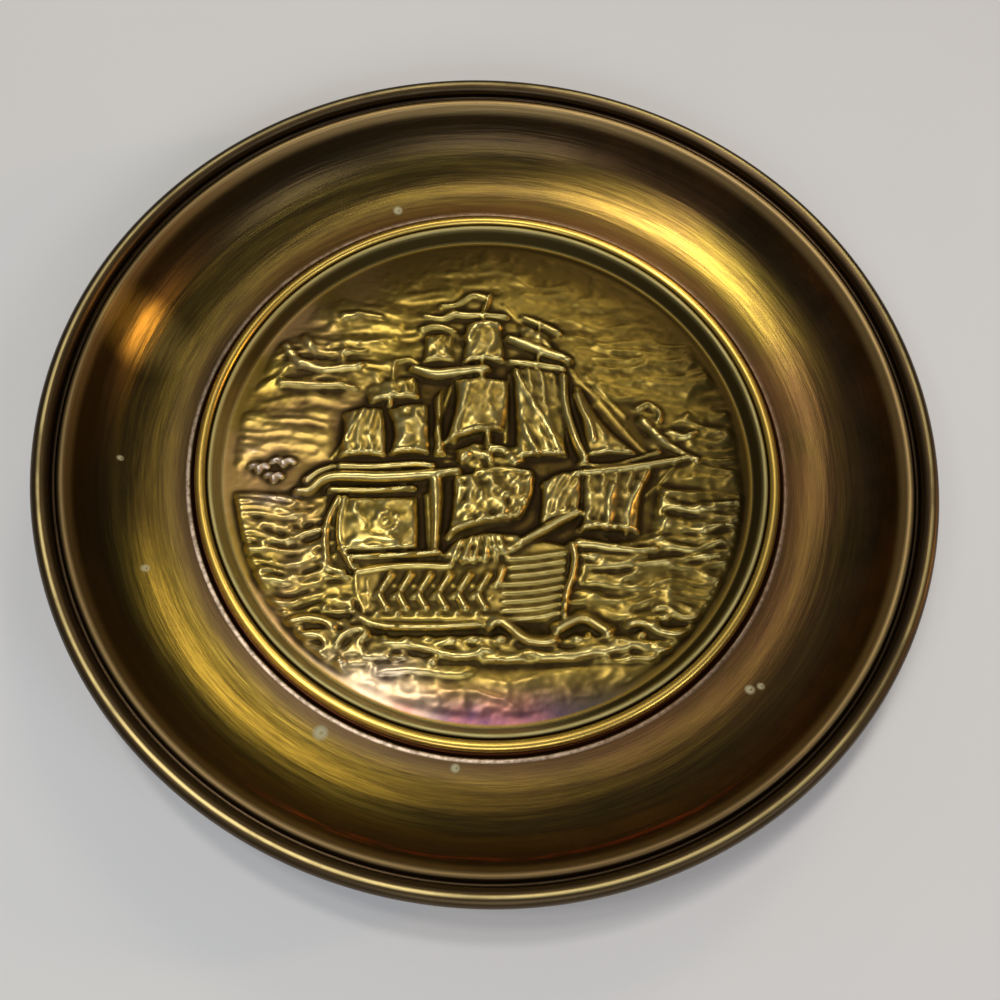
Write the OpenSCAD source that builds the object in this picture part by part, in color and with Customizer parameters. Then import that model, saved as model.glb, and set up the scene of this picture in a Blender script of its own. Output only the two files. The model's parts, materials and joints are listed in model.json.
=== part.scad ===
// Round spun-brass wall dish. A pressed ship medallion sits in the well, clamped under a
// round wire ring, and a small bail on the back hangs the dish on a hook.
// The base stands on z = 0, +Z is the dish's axis and +Y is the top of the picture.

/* [Dish] */
// Diameter over the rolled rim
plate_d = 152; // [148:1:190]
// Height from the base to the top of the rolled rim
plate_h = 18.25; // [15:0.25:24]
// Thickness of the spun sheet
sheet_t = 0.7; // [0.6:0.05:0.8]
// Diameter of the wire inside the rolled rim
rim_wire_d = 1.5; // [1.4:0.1:2]
// Drop of the ridge crest inside the rim, below the rim's top
ridge_drop = 1.85; // [1:0.05:2.5]
// Rounding of the ridge crest
ridge_round = 0.8; // [0.75:0.05:1.2]
// Depth of the groove between the ridge and the rim, below the ridge crest
groove_depth = 0.7; // [0.4:0.1:1]
// Rounding of the bottom of that groove
groove_round = 0.45; // [0.3:0.05:0.8]
// Width of the straight band under the ridge
band_w = 3.1; // [1:0.1:6]
// Fall of the cavetto just outside the crest around the well, in degrees
crest_fall = 4; // [0:1:10]

/* [Well] */
// Height of the ledge that carries the medallion's lip
ledge_h = 3.3; // [2.8:0.1:4.4]
// Height of the crest around the well
crest_h = 4.2; // [4:0.1:5.2]
// Gap between the ring and the outer wall of the channel that it lies in
channel_gap = 0.1; // [0.05:0.05:0.5]
// Rounding of the well's edges
edge_round = 0.6; // [0.6:0.05:0.9]

/* [Medallion] */
// Diameter of the picture field
field_d = 97.4; // [80:0.2:100]
// Height of the field above the base
field_h = 2.2; // [1.8:0.1:2.6]
// Thickness of the pressed sheet
medal_t = 0.4; // [0.3:0.05:0.5]
// Height of the upturned rib around the field
rib_h = 5.3; // [4.8:0.1:6]
// Width of the sloping inner side of the rib
rib_w = 1.9; // [1.6:0.1:2.4]
// Rounding of the rib's crest
rib_round = 0.55; // [0.5:0.05:0.7]
// Height of the highest relief above the field
relief_h = 2.1; // [1.2:0.1:2.8]
// Diameter of the retaining ring's wire
ring_wire_d = 2; // [1.6:0.1:2.2]

/* [Hanger] */
// Width of the strap
strap_w = 7; // [5:0.5:10]
// Thickness of the strap
strap_t = 0.6; // [0.4:0.1:1]
// Length of the strap's soldered tail, along the dish
tail_len = 8; // [5:0.5:9]
// Distance of the bail's pin from the dish's axis
pin_r = 65.1; // [63:0.1:66]
// Diameter of the bail's wire
bail_d = 1.6; // [1.2:0.1:1.8]
// Inner width of the bail
bail_w = 10.4; // [9:0.1:14]
// Reach of the bail from its pin to the middle of its outer end
bail_reach = 9.5; // [8:0.1:10]
// Radial running clearance of the bail in its knuckle
pin_clear = 0.06; // [0.02:0.01:0.1]

/* [Hidden] */
$fn = 64;

half = sheet_t / 2;
fit = 0.03;              // gap between pieces that lie on each other
join = 0.1;              // depth to which one feature runs into the next

function polar(r, a) = r * [cos(a), sin(a)];
function heading(v) = atan2(v.y, v.x);
// Slope of the straight line that leaves a hollow bend and meets a crest bend
function rise_slope(hollow, r1, crest, r2) =
    heading(crest - hollow) + asin((r1 + r2) / norm(crest - hollow));
// Slope of the straight line that leaves a crest bend and meets a hollow bend
function drop_slope(crest, r1, hollow, r2) =
    heading(hollow - crest) - asin((r1 + r2) / norm(hollow - crest));
// A bend is [centre, radius of the sheet's middle line, first angle, last angle, steps].
// Turning left means that the upper face lies on the inside of the bend.
function edge(bend, offset) =
    let (left = bend[3] > bend[2], r = bend[1] + (left ? -offset : offset))
    [for (i = [0 : bend[4]]) bend[0] + polar(r, bend[2] + (bend[3] - bend[2]) * i / bend[4])];
function flat(lists) = [for (l = lists) each l];
function backwards(l) = [for (i = [len(l) - 1 : -1 : 0]) l[i]];
function sheet_outline(bends, t, start, end) = concat(
    [start + [0, t / 2]], flat([for (b = bends) edge(b, t / 2)]), end == undef ? [] : [end + [0, t / 2]],
    backwards(concat([start - [0, t / 2]], flat([for (b = bends) edge(b, -t / 2)]),
                     end == undef ? [] : [end - [0, t / 2]])));

// Medallion bends, from the field outwards
field_round = 0.6;
lip_round = 0.4;
lip_step = 0.65;         // rib's outer face to the centre of the lip's bend
ring_gap = 0.1;          // rib's outer face to the ring
lip_reach = 0.75;        // share of the ring's radius that the lip runs past its middle
lip_top = ledge_h + fit + medal_t;
mid_t = medal_t / 2;
field_bend = [field_d / 2 - field_round, field_h + field_round];
rib_c = field_bend + [rib_w, rib_h - rib_round - field_h - field_round];
lip_c = [rib_c.x + rib_round + lip_step, lip_top + lip_round];
bevel = rise_slope(field_bend, field_round + mid_t, rib_c, rib_round - mid_t);
flank = drop_slope(rib_c, rib_round - mid_t, lip_c, lip_round + mid_t);
// Retaining ring, seated on the lip beside the rib
ring_c = [rib_c.x + rib_round + ring_gap + ring_wire_d / 2, lip_top + fit + ring_wire_d / 2];
lip_r = ring_c.x + lip_reach * ring_wire_d / 2;
medal_bends = [
    [field_bend, field_round + mid_t, -90, bevel - 90, 8],
    [rib_c, rib_round - mid_t, bevel + 90, flank + 90, 10],
    [lip_c, lip_round + mid_t, flank - 90, -90, 8]];

// Dish bends, from the floor outwards
floor_round = 0.65;
channel_round = 0.4;
floor_step = 0.8;        // field's bend to the floor's bend
ledge_step = 0.75;       // rib's crest to the ledge's bend
crest_step = 1.15;       // channel's bend to the crest's bend
floor_c = [field_bend.x + floor_step, sheet_t + floor_round];
ledge_c = [rib_c.x + ledge_step, ledge_h - edge_round];
channel_c = [ring_c.x + ring_wire_d / 2 + channel_gap, ledge_h + channel_round];
crest_c = [channel_c.x + crest_step, crest_h - edge_round];
wall = rise_slope(floor_c, floor_round + half, ledge_c, edge_round - half);
riser = rise_slope(channel_c, channel_round + half, crest_c, edge_round - half);

roll_hole = rim_wire_d / 2 + fit;
roll_r = roll_hole + sheet_t;
roll_mid = roll_hole + half;
roll_c = [plate_d / 2 - roll_r, plate_h - roll_r];
roll_end = -110;
ridge_h = plate_h - ridge_drop;
groove_z = ridge_h - groove_depth + groove_round;
groove_c = [roll_c.x - sqrt(pow(groove_round + half + roll_mid, 2) - pow(roll_c.y - groove_z, 2)),
            groove_z];
ridge_z = ridge_h - ridge_round;
ridge_c = [groove_c.x - sqrt(pow(ridge_round + groove_round, 2) - pow(groove_z - ridge_z, 2)),
           ridge_z];
lift = heading(groove_c - ridge_c);
rollin = heading(roll_c - groove_c);

// The cavetto's radius is the one that leaves the crest at its fall and meets the band
span = ridge_c - crest_c;
fall_dir = [sin(crest_fall), cos(crest_fall)];
round_diff = ridge_round - edge_round;
cavetto_mid = (span * span - pow(round_diff, 2) - pow(band_w, 2)) / (2 * (span * fall_dir + round_diff))
    - (edge_round - half);
cavetto_c = crest_c + (cavetto_mid + edge_round - half) * fall_dir;
band = heading(ridge_c - cavetto_c) + atan2(cavetto_mid + ridge_round - half, band_w);
dish_bends = [
    [floor_c, floor_round + half, -90, wall - 90, 8],
    [ledge_c, edge_round - half, wall + 90, 90, 8],
    [channel_c, channel_round + half, -90, riser - 90, 6],
    [crest_c, edge_round - half, riser + 90, 90 - crest_fall, 8],
    [cavetto_c, cavetto_mid, -90 - crest_fall, band - 90, 26],
    [ridge_c, ridge_round - half, band + 90, lift, 12],
    [groove_c, groove_round + half, lift + 180, rollin + 360, 14],
    [roll_c, roll_mid, rollin + 180, roll_end, 30]];

// Hanger places: radii about the cavetto's centre, below the dish's underside
solder_t = 0.14;
under_r = cavetto_mid + half;
solder_r = under_r + fit;
strap_r = solder_r + solder_t + fit;
knuckle_r = bail_d / 2 + pin_clear + strap_t;
knuckle_step = 0.06;     // drop of the knuckle's curl below the tail's inner face
pin_path = strap_r + knuckle_r + knuckle_step;
pin_angle = asin((pin_r - cavetto_c.x) / pin_path);
pin_z = cavetto_c.y - pin_path * cos(pin_angle);
tail_angle = tail_len / strap_r * 180 / PI;
bail_mid = (bail_w + bail_d) / 2;       // half width of the bail on its wire's middle line
corner_r = 1.6;                         // bend of the wire at the bail's two corners
rest_gap = 0.05;                        // height of the resting bail above the table
bail_drop = asin((pin_z - bail_d / 2 - rest_gap) / bail_reach);

module revolved(bends, t, start, end) {
    rotate_extrude($fn = 180) polygon(sheet_outline(bends, t, start, end));
}

module dish() color([0.55, 0.42, 0.16]) revolved(dish_bends, sheet_t, [0, half]);

module wire_ring(centre, wire_d) {
    rotate_extrude($fn = 180) translate(centre) circle(d = wire_d, $fn = 32);
}

module rim_wire() color([0.45, 0.43, 0.4]) wire_ring(roll_c, rim_wire_d);

module retaining_ring() color([0.86, 0.66, 0.2]) wire_ring(ring_c, ring_wire_d);

packing_gap = 0.4;       // disc's edge to the field's bend
packing_r = field_bend.x - packing_gap;
module packing_disc() color([0.6, 0.56, 0.5])
    translate([0, 0, sheet_t + fit])
        cylinder(r = packing_r, h = field_h - medal_t - sheet_t - 2 * fit, $fn = 180);

// Relief: plain raised shapes, sized with the field
drawn_r = 48;            // radius of the field that their points are drawn for
picture = field_bend.x / drawn_r;
module raised(share, points) {
    translate([0, 0, field_h - join]) linear_extrude(share * relief_h + join)
        polygon([for (p = points) p * picture]);
}
module bar(share, from, to, w) {
    side = [from.y - to.y, to.x - from.x] / norm(to - from) * w / 2;
    raised(share, [from - side, to - side, to + side, from + side]);
}
module hull_relief() {
    raised(0.7, [[-23.6, -19.3], [-22.6, -26], [-20.6, -30.2], [11.6, -30.6], [13.6, -22.5],
                 [14.4, -16.6], [3.4, -17.4], [-9, -20.2]]);
    raised(0.55, [[-29, -7.4], [-26.2, -7.2], [-25.6, -15], [-23.8, -20], [-27, -21.4], [-28.6, -14]]);
    bar(1, [14.1, -16.2], [11.7, -29.6], 1.6);
    bar(0.84, [-24.2, -18.9], [-9.8, -18.5], 1);
    for (i = [0 : 5]) bar(0.8 + i * 0.01, [-18.8 + 3.5 * i, -22.4], [-18 + 3.5 * i, -26.4], 1.1);
    bar(0.76, [5, -16.2], [15.2, -10.9], 1.7);
    bar(0.6, [14.6, -15.7], [27.4, -17.9], 1.5);
}
module sail_relief() {
    raised(0.86, [[-26, -7.8], [-13, -7.4], [-13.4, -17.4], [-25.4, -17.8]]);
    raised(0.82, [[-7.6, -4.6], [7, -4], [6.2, -11.6], [-7.6, -15.4]]);
    raised(0.93, [[-7.6, 3.4], [-5, 16.8], [2.4, 16.6], [3.6, 6.4], [0, 6]]);
    raised(0.64, [[-3, 21.2], [-2, 29.6], [2.6, 29.4], [2.4, 21]]);
    raised(0.74, [[5, 18.8], [14, 17.6], [16.8, 0.2], [6.2, 0.6]]);
    raised(0.5, [[18.8, 13], [27.2, 1.6], [17.8, 0.9]]);
    raised(0.66, [[10, -3.4], [29, -3], [24.8, -14.2], [9.2, -14.6]]);
    raised(0.72, [[-27.2, 1], [-26, 9], [-12.2, 10.6], [-9.6, 1.2]]);
}
module rigging_relief() {
    bar(0.96, [-31, -4.2], [-6.2, -2.3], 2.1);
    bar(0.88, [-13, 18], [-1, 18.7], 2);
    bar(0.78, [4.6, 25.4], [14.4, 21.4], 2);
    bar(0.62, [15, -1.6], [35.8, 0.2], 1.3);
    bar(0.68, [-10.6, -3.6], [-10.5, -18.2], 2.4);
    bar(0.58, [-0.4, 29], [0.4, 36], 1.6);
    bar(0.52, [-0.2, 16], [-0.2, 22], 1.8);
}
module sea_relief() {
    bar(0.47, [-38, -27.4], [-24.5, -26.2], 1.2);
    bar(0.45, [-40.8, -21.8], [-25.5, -20.4], 1.1);
    bar(0.43, [16, -24], [40.6, -23.4], 1.2);
    bar(0.49, [18, -28.8], [37, -27.6], 1.2);
    bar(0.56, [-32.4, -32.9], [-21, -31.8], 2);
    bar(0.54, [-21.4, -32.9], [0.4, -34.3], 2);
    bar(0.57, [0.2, -33.7], [22, -33.1], 2);
    bar(0.53, [21.6, -31.9], [34.6, -31], 1.9);
}
module medallion() color([0.72, 0.6, 0.22]) {
    revolved(medal_bends, medal_t, [0, field_h - mid_t], [lip_r, lip_top - mid_t]);
    hull_relief();
    sail_relief();
    rigging_relief();
    sea_relief();
}

// Stands a profile drawn in the radius and height plane across the dish's +Y side
module across(width) {
    translate([width / 2, 0, 0]) rotate([90, 0, -90]) mirror([1, 0, 0])
        linear_extrude(width) children();
}
function arc_band(r1, r2, a1, a2, n) = concat(
    [for (i = [0 : n]) cavetto_c + polar(r1, a1 + (a2 - a1) * i / n - 90)],
    [for (i = [n : -1 : 0]) cavetto_c + polar(r2, a1 + (a2 - a1) * i / n - 90)]);

module along_pin(r, width) {
    translate([-width / 2, pin_r, pin_z]) rotate([0, 90, 0]) cylinder(r = r, h = width);
}
module hanger_strap() color([0.62, 0.5, 0.22]) difference() {
    union() {
        across(strap_w)
            polygon(arc_band(strap_r, strap_r + strap_t, pin_angle - tail_angle, pin_angle, 12));
        along_pin(knuckle_r, strap_w);
    }
    along_pin(knuckle_r - strap_t, strap_w + 2 * join);
}

module hanger_solder() color([0.66, 0.66, 0.64]) {
    margin_angle = 2;
    side_margin = 1.2;
    turn = (strap_w / 2 + side_margin) / (pin_r - tail_len) * 180 / PI;
    rotate([0, 0, 90 - turn]) rotate_extrude(angle = 2 * turn, $fn = 180)
        polygon(arc_band(solder_r, solder_r + solder_t, pin_angle - tail_angle - margin_angle,
                         pin_angle - margin_angle, 12));
}

module bend(r, from, turn) {
    rotate([0, 0, from]) rotate_extrude(angle = turn, $fn = 96)
        translate([r, 0]) circle(d = bail_d, $fn = 32);
}
// The bail is drawn flat with its pin along X and its eye towards +Y
module hanging_bail() color([0.72, 0.56, 0.2])
    translate([0, pin_r, pin_z]) rotate([-bail_drop, 0, 0]) {
        arm = bail_reach - bail_mid;
        translate([0, arm, 0]) bend(bail_mid, 0, 180);
        for (side = [-1, 1]) {
            translate([side * bail_mid, corner_r, 0]) rotate([-90, 0, 0])
                cylinder(d = bail_d, h = arm - corner_r, $fn = 32);
            translate([side * (bail_mid - corner_r), corner_r, 0])
                bend(corner_r, side > 0 ? -90 : 180, 90);
        }
        translate([-(bail_mid - corner_r), 0, 0]) rotate([0, 90, 0])
            cylinder(d = bail_d, h = 2 * (bail_mid - corner_r), $fn = 32);
    }

dish();
rim_wire();
medallion();
retaining_ring();
packing_disc();
hanger_strap();
hanger_solder();
hanging_bail();
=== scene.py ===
"""Brass wall dish with a pressed ship medallion, its hanger and a plain studio stage.

The dish, rim and rings are revolved from sheet profiles, the medallion is a height field over
its round field, and the hanger follows the dish's underside. Lengths in the profiles are in
millimetres and are turned into metres when a mesh is made. The settings keep metres.
"""

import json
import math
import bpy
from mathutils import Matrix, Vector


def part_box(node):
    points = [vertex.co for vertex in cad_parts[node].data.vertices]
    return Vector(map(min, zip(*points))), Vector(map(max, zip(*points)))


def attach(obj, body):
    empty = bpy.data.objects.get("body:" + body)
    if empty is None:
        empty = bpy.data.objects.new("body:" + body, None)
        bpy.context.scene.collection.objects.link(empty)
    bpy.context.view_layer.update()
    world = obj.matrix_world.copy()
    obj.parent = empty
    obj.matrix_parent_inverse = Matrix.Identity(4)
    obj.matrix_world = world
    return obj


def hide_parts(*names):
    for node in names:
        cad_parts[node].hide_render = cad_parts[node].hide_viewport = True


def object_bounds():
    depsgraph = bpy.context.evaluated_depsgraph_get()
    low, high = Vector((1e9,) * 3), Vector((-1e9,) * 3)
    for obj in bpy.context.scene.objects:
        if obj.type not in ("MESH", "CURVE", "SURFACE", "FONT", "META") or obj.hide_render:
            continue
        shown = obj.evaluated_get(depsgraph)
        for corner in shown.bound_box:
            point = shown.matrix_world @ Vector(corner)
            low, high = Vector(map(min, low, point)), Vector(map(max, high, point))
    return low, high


bl_info = {
    "name": "Ship Medallion Wall Dish",
    "version": (1, 0, 0),
    "blender": (4, 5, 0),
    "location": "3D View > Sidebar > Wall Dish",
    "description": "Builds the looks of a spun brass wall dish around its packed frame",
    "category": "Object",
}

import bmesh
import bpy
import numpy as np
from mathutils import Matrix, Vector

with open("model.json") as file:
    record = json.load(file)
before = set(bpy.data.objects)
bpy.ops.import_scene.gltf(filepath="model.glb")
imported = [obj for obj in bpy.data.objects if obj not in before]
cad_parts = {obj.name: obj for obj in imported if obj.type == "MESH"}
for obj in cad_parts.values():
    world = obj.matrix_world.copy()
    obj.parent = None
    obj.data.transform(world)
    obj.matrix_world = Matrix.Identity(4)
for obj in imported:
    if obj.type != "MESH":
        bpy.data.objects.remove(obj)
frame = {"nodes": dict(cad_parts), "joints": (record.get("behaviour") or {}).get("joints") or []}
CAD_BOX = [list(corner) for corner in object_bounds()]

MM = 0.001
QUARTER = math.pi / 2
DISH_HIGH = Vector(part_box("dish")[1]) / MM
MEDAL_HIGH = Vector(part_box("medallion")[1]) / MM
RING_LOW, RING_HIGH = (Vector(corner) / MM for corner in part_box("retaining_ring"))
STRAP_LOW, STRAP_HIGH = (Vector(corner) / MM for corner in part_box("hanger_strap"))
BAIL_LOW, BAIL_HIGH = (Vector(corner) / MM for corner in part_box("hanging_bail"))
PIN = Vector(frame["joints"][0]["pos_m"]) / MM


# ---------------------------------------------------------------- settings

def length(name, description, default):
    """A length that is given here in millimetres and kept in metres."""
    return bpy.props.FloatProperty(name=name, description=description, default=default * MM,
                                   min=0.01 * MM, max=500 * MM, precision=5, subtype="DISTANCE")


def colour(name, description, default):
    """A colour of one of the finishes."""
    return bpy.props.FloatVectorProperty(name=name, description=description, default=default,
                                         size=3, min=0.0, max=1.0, subtype="COLOR")


class WALLDISH_PG_dish(bpy.types.PropertyGroup):
    """Sizes of the spun dish"""
    radius: length("Radius", "Outer radius of the rolled rim", DISH_HIGH.x)
    height: length("Height", "Height of the rolled rim's top", DISH_HIGH.z)
    sheet: length("Sheet", "Thickness of the spun sheet", 0.7)
    wire: length("Rim wire", "Diameter of the wire in the rim", 1.5)
    ridge_drop: length("Ridge drop", "Drop of the ridge crest below the rim", 1.85)
    ridge_round: length("Ridge rounding", "Rounding of the ridge crest", 0.8)
    groove_depth: length("Groove depth", "Depth of the rim groove below the ridge", 0.7)
    groove_round: length("Groove rounding", "Rounding of the rim groove", 0.45)
    band: length("Band", "Width of the straight band under the ridge", 3.1)
    crest_height: length("Crest height", "Height of the crest around the well", 4.2)
    crest_fall: bpy.props.FloatProperty(name="Crest fall", description="Fall outside the crest",
                                        default=math.radians(4), subtype="ANGLE")
    ledge_height: length("Ledge height", "Height of the medallion's ledge", 3.3)
    edge_round: length("Edge rounding", "Rounding of the well's edges", 0.6)
    segments: bpy.props.IntProperty(name="Segments", description="Steps around the dish",
                                    default=384, min=32, max=720)


class WALLDISH_PG_medallion(bpy.types.PropertyGroup):
    """Sizes of the pressed medallion and its ring"""
    field_radius: length("Field radius", "Radius of the picture field", 48.7)
    field_height: length("Field height", "Height of the field above the base", 2.2)
    sheet: length("Sheet", "Thickness of the pressed sheet", 0.4)
    rib_height: length("Rib height", "Height of the upturned rib", MEDAL_HIGH.z)
    rib_width: length("Rib width", "Width of the rib's inner slope", 1.9)
    rib_round: length("Rib rounding", "Rounding of the rib's crest", 0.55)
    relief: length("Relief", "Height of the highest relief above the field", 2.1)
    cell: length("Cell", "Spacing of the points over the picture", 0.31)
    ring_wire: length("Ring wire", "Diameter of the retaining ring's wire",
                      RING_HIGH.z - RING_LOW.z)
    segments: bpy.props.IntProperty(name="Segments", description="Steps around the rib",
                                    default=448, min=64, max=720)


class WALLDISH_PG_hanger(bpy.types.PropertyGroup):
    """Sizes of the strap and the bail"""
    strap_width: length("Strap width", "Width of the strap", STRAP_HIGH.x - STRAP_LOW.x)
    strap: length("Strap", "Thickness of the strap", 0.6)
    tail: length("Tail", "Length of the soldered tail", 8.0)
    wire: length("Bail wire", "Diameter of the bail's wire", 1.6)
    clearance: length("Clearance", "Running clearance of the bail's pin", 0.06)
    reach: length("Reach", "Pin to the middle of the bail's outer end", 9.5)
    corner: length("Corner", "Bend of the wire at the pin's ends", 1.6)
    solder: length("Solder", "Thickness of the solder layer", 0.14)


class WALLDISH_PG_finish(bpy.types.PropertyGroup):
    """Colours of the metals"""
    lacquer: colour("Lacquer", "Brown-gold lacquer of the cavetto", (0.105, 0.068, 0.016))
    # darkest lacquer tone: painted shade under the rim, and the dark turning lines
    shadow: colour("Lacquer shadow", "Darkest tone of the lacquer", (0.050, 0.030, 0.013))
    # gold also paints a highlight ring on the cavetto
    gold: colour("Gold", "Golden tone where the lacquer is thin", (0.66, 0.46, 0.065))
    # pale metal: wear on the crests, partly a painted sheen, and the painted highlight on the gulls
    worn: colour("Worn", "Pale metal on worn crests", (0.93, 0.76, 0.62))
    pressed: colour("Pressed brass", "Body tone of the medallion", (0.46, 0.33, 0.065))
    rubbed: colour("Rubbed brass", "Bright tone of the rubbed relief", (0.76, 0.62, 0.24))
    patina: colour("Patina", "Dark tone in the hollows", (0.030, 0.018, 0.008))
    ring: colour("Ring", "Polished ring wire", (0.90, 0.62, 0.13))
    floor: colour("Floor", "Pale floor", (0.87, 0.88, 0.91))


GROUPS = {
    "wall_dish": WALLDISH_PG_dish,
    "wall_dish_medallion": WALLDISH_PG_medallion,
    "wall_dish_hanger": WALLDISH_PG_hanger,
    "wall_dish_finish": WALLDISH_PG_finish,
}


class InMillimetres:
    """A group of settings that gives its lengths in millimetres."""

    def __init__(self, group):
        self.group = group

    def __getattr__(self, name):
        value = getattr(self.group, name)
        is_length = self.group.bl_rna.properties[name].subtype == "DISTANCE"
        return value / MM if is_length else value


def settings(group):
    """One of the scene's groups of settings, with its lengths in millimetres."""
    return InMillimetres(getattr(bpy.context.scene, group))


# ---------------------------------------------------------------- sheet profiles

FIT = 0.03                      # gap between pieces that touch
FIELD_ROUND = 0.6               # bend from the medallion's field into its rib
LIP_ROUND = 0.4                 # bend from the rib into the flat lip
LIP_GAP = 0.65                  # outer side of the rib to the middle of the lip's bend
LIP_UNDER_RING = 0.75           # share of the ring's outer half that the lip reaches under
RING_GAP = 0.1                  # on either side of the retaining ring
FLOOR_ROUND = 0.65              # bend from the dish's floor into the well's wall
FLOOR_GAP = 0.8                 # middle of the field's bend to the middle of the floor's bend
LEDGE_GAP = 0.75                # middle of the rib to the middle of the ledge's edge
CHANNEL_ROUND = 0.4             # bend from the channel up to the crest
CREST_GAP = 1.15                # middle of the channel's bend to the middle of the crest
ROLL_END = math.radians(-110)   # where the rolled rim's sheet ends
CURL = math.radians(318)        # how far the strap goes around the pin
TAIL_END = 0.01                 # angle between the tail's end and the pin
STEP_LENGTH, STEP_ANGLE = 0.42, 0.22   # longest steps along a bend, in mm and radians
FEWEST_STEPS = 5                # along the shortest bend


def polar(radius, angle):
    """The place at that radius and angle from the origin."""
    return Vector((radius * math.cos(angle), radius * math.sin(angle)))


def heading(v):
    """The angle that a vector points at."""
    return math.atan2(v.y, v.x)


def beside(centre, height, reach):
    """The place that is at that height, inside a centre and reach away from it."""
    return Vector((centre.x - math.sqrt(reach ** 2 - (centre.y - height) ** 2), height))


def rise_slope(hollow, r1, crest, r2):
    """Slope of the straight that leaves a hollow bend and meets a crest bend."""
    return heading(crest - hollow) + math.asin((r1 + r2) / (crest - hollow).length)


def drop_slope(crest, r1, hollow, r2):
    """Slope of the straight that leaves a crest bend and meets a hollow bend."""
    return heading(hollow - crest) - math.asin((r1 + r2) / (hollow - crest).length)


def bend_edge(bend, offset):
    """One face of a bent sheet. A bend is (centre, middle radius, first angle, last angle)."""
    centre, radius, first, last = bend
    r = radius + (-offset if last > first else offset)
    turn = abs(last - first)
    steps = max(FEWEST_STEPS, int(turn * r / STEP_LENGTH), int(turn / STEP_ANGLE))
    return [centre + polar(r, first + (last - first) * i / steps) for i in range(steps + 1)]


def face_points(bends, offset, start=None, end=None):
    """One face of a sheet: its bends, with straights between them and to both ends."""
    points = [start + Vector((0, offset))] if start else []
    for bend in bends:
        points += bend_edge(bend, offset)
    return points + ([end + Vector((0, offset))] if end else [])


def outline(bends, sheet, start=None, end=None):
    """Upper face outwards, then lower face back, as one run of points."""
    top = face_points(bends, sheet / 2, start, end)
    return top + face_points(bends, -sheet / 2, start, end)[::-1]


def circle_points(centre, radius, steps):
    """A closed circle, from its outer side and clockwise."""
    return [centre + polar(radius, -2 * math.pi * i / steps) for i in range(steps + 1)]


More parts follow.
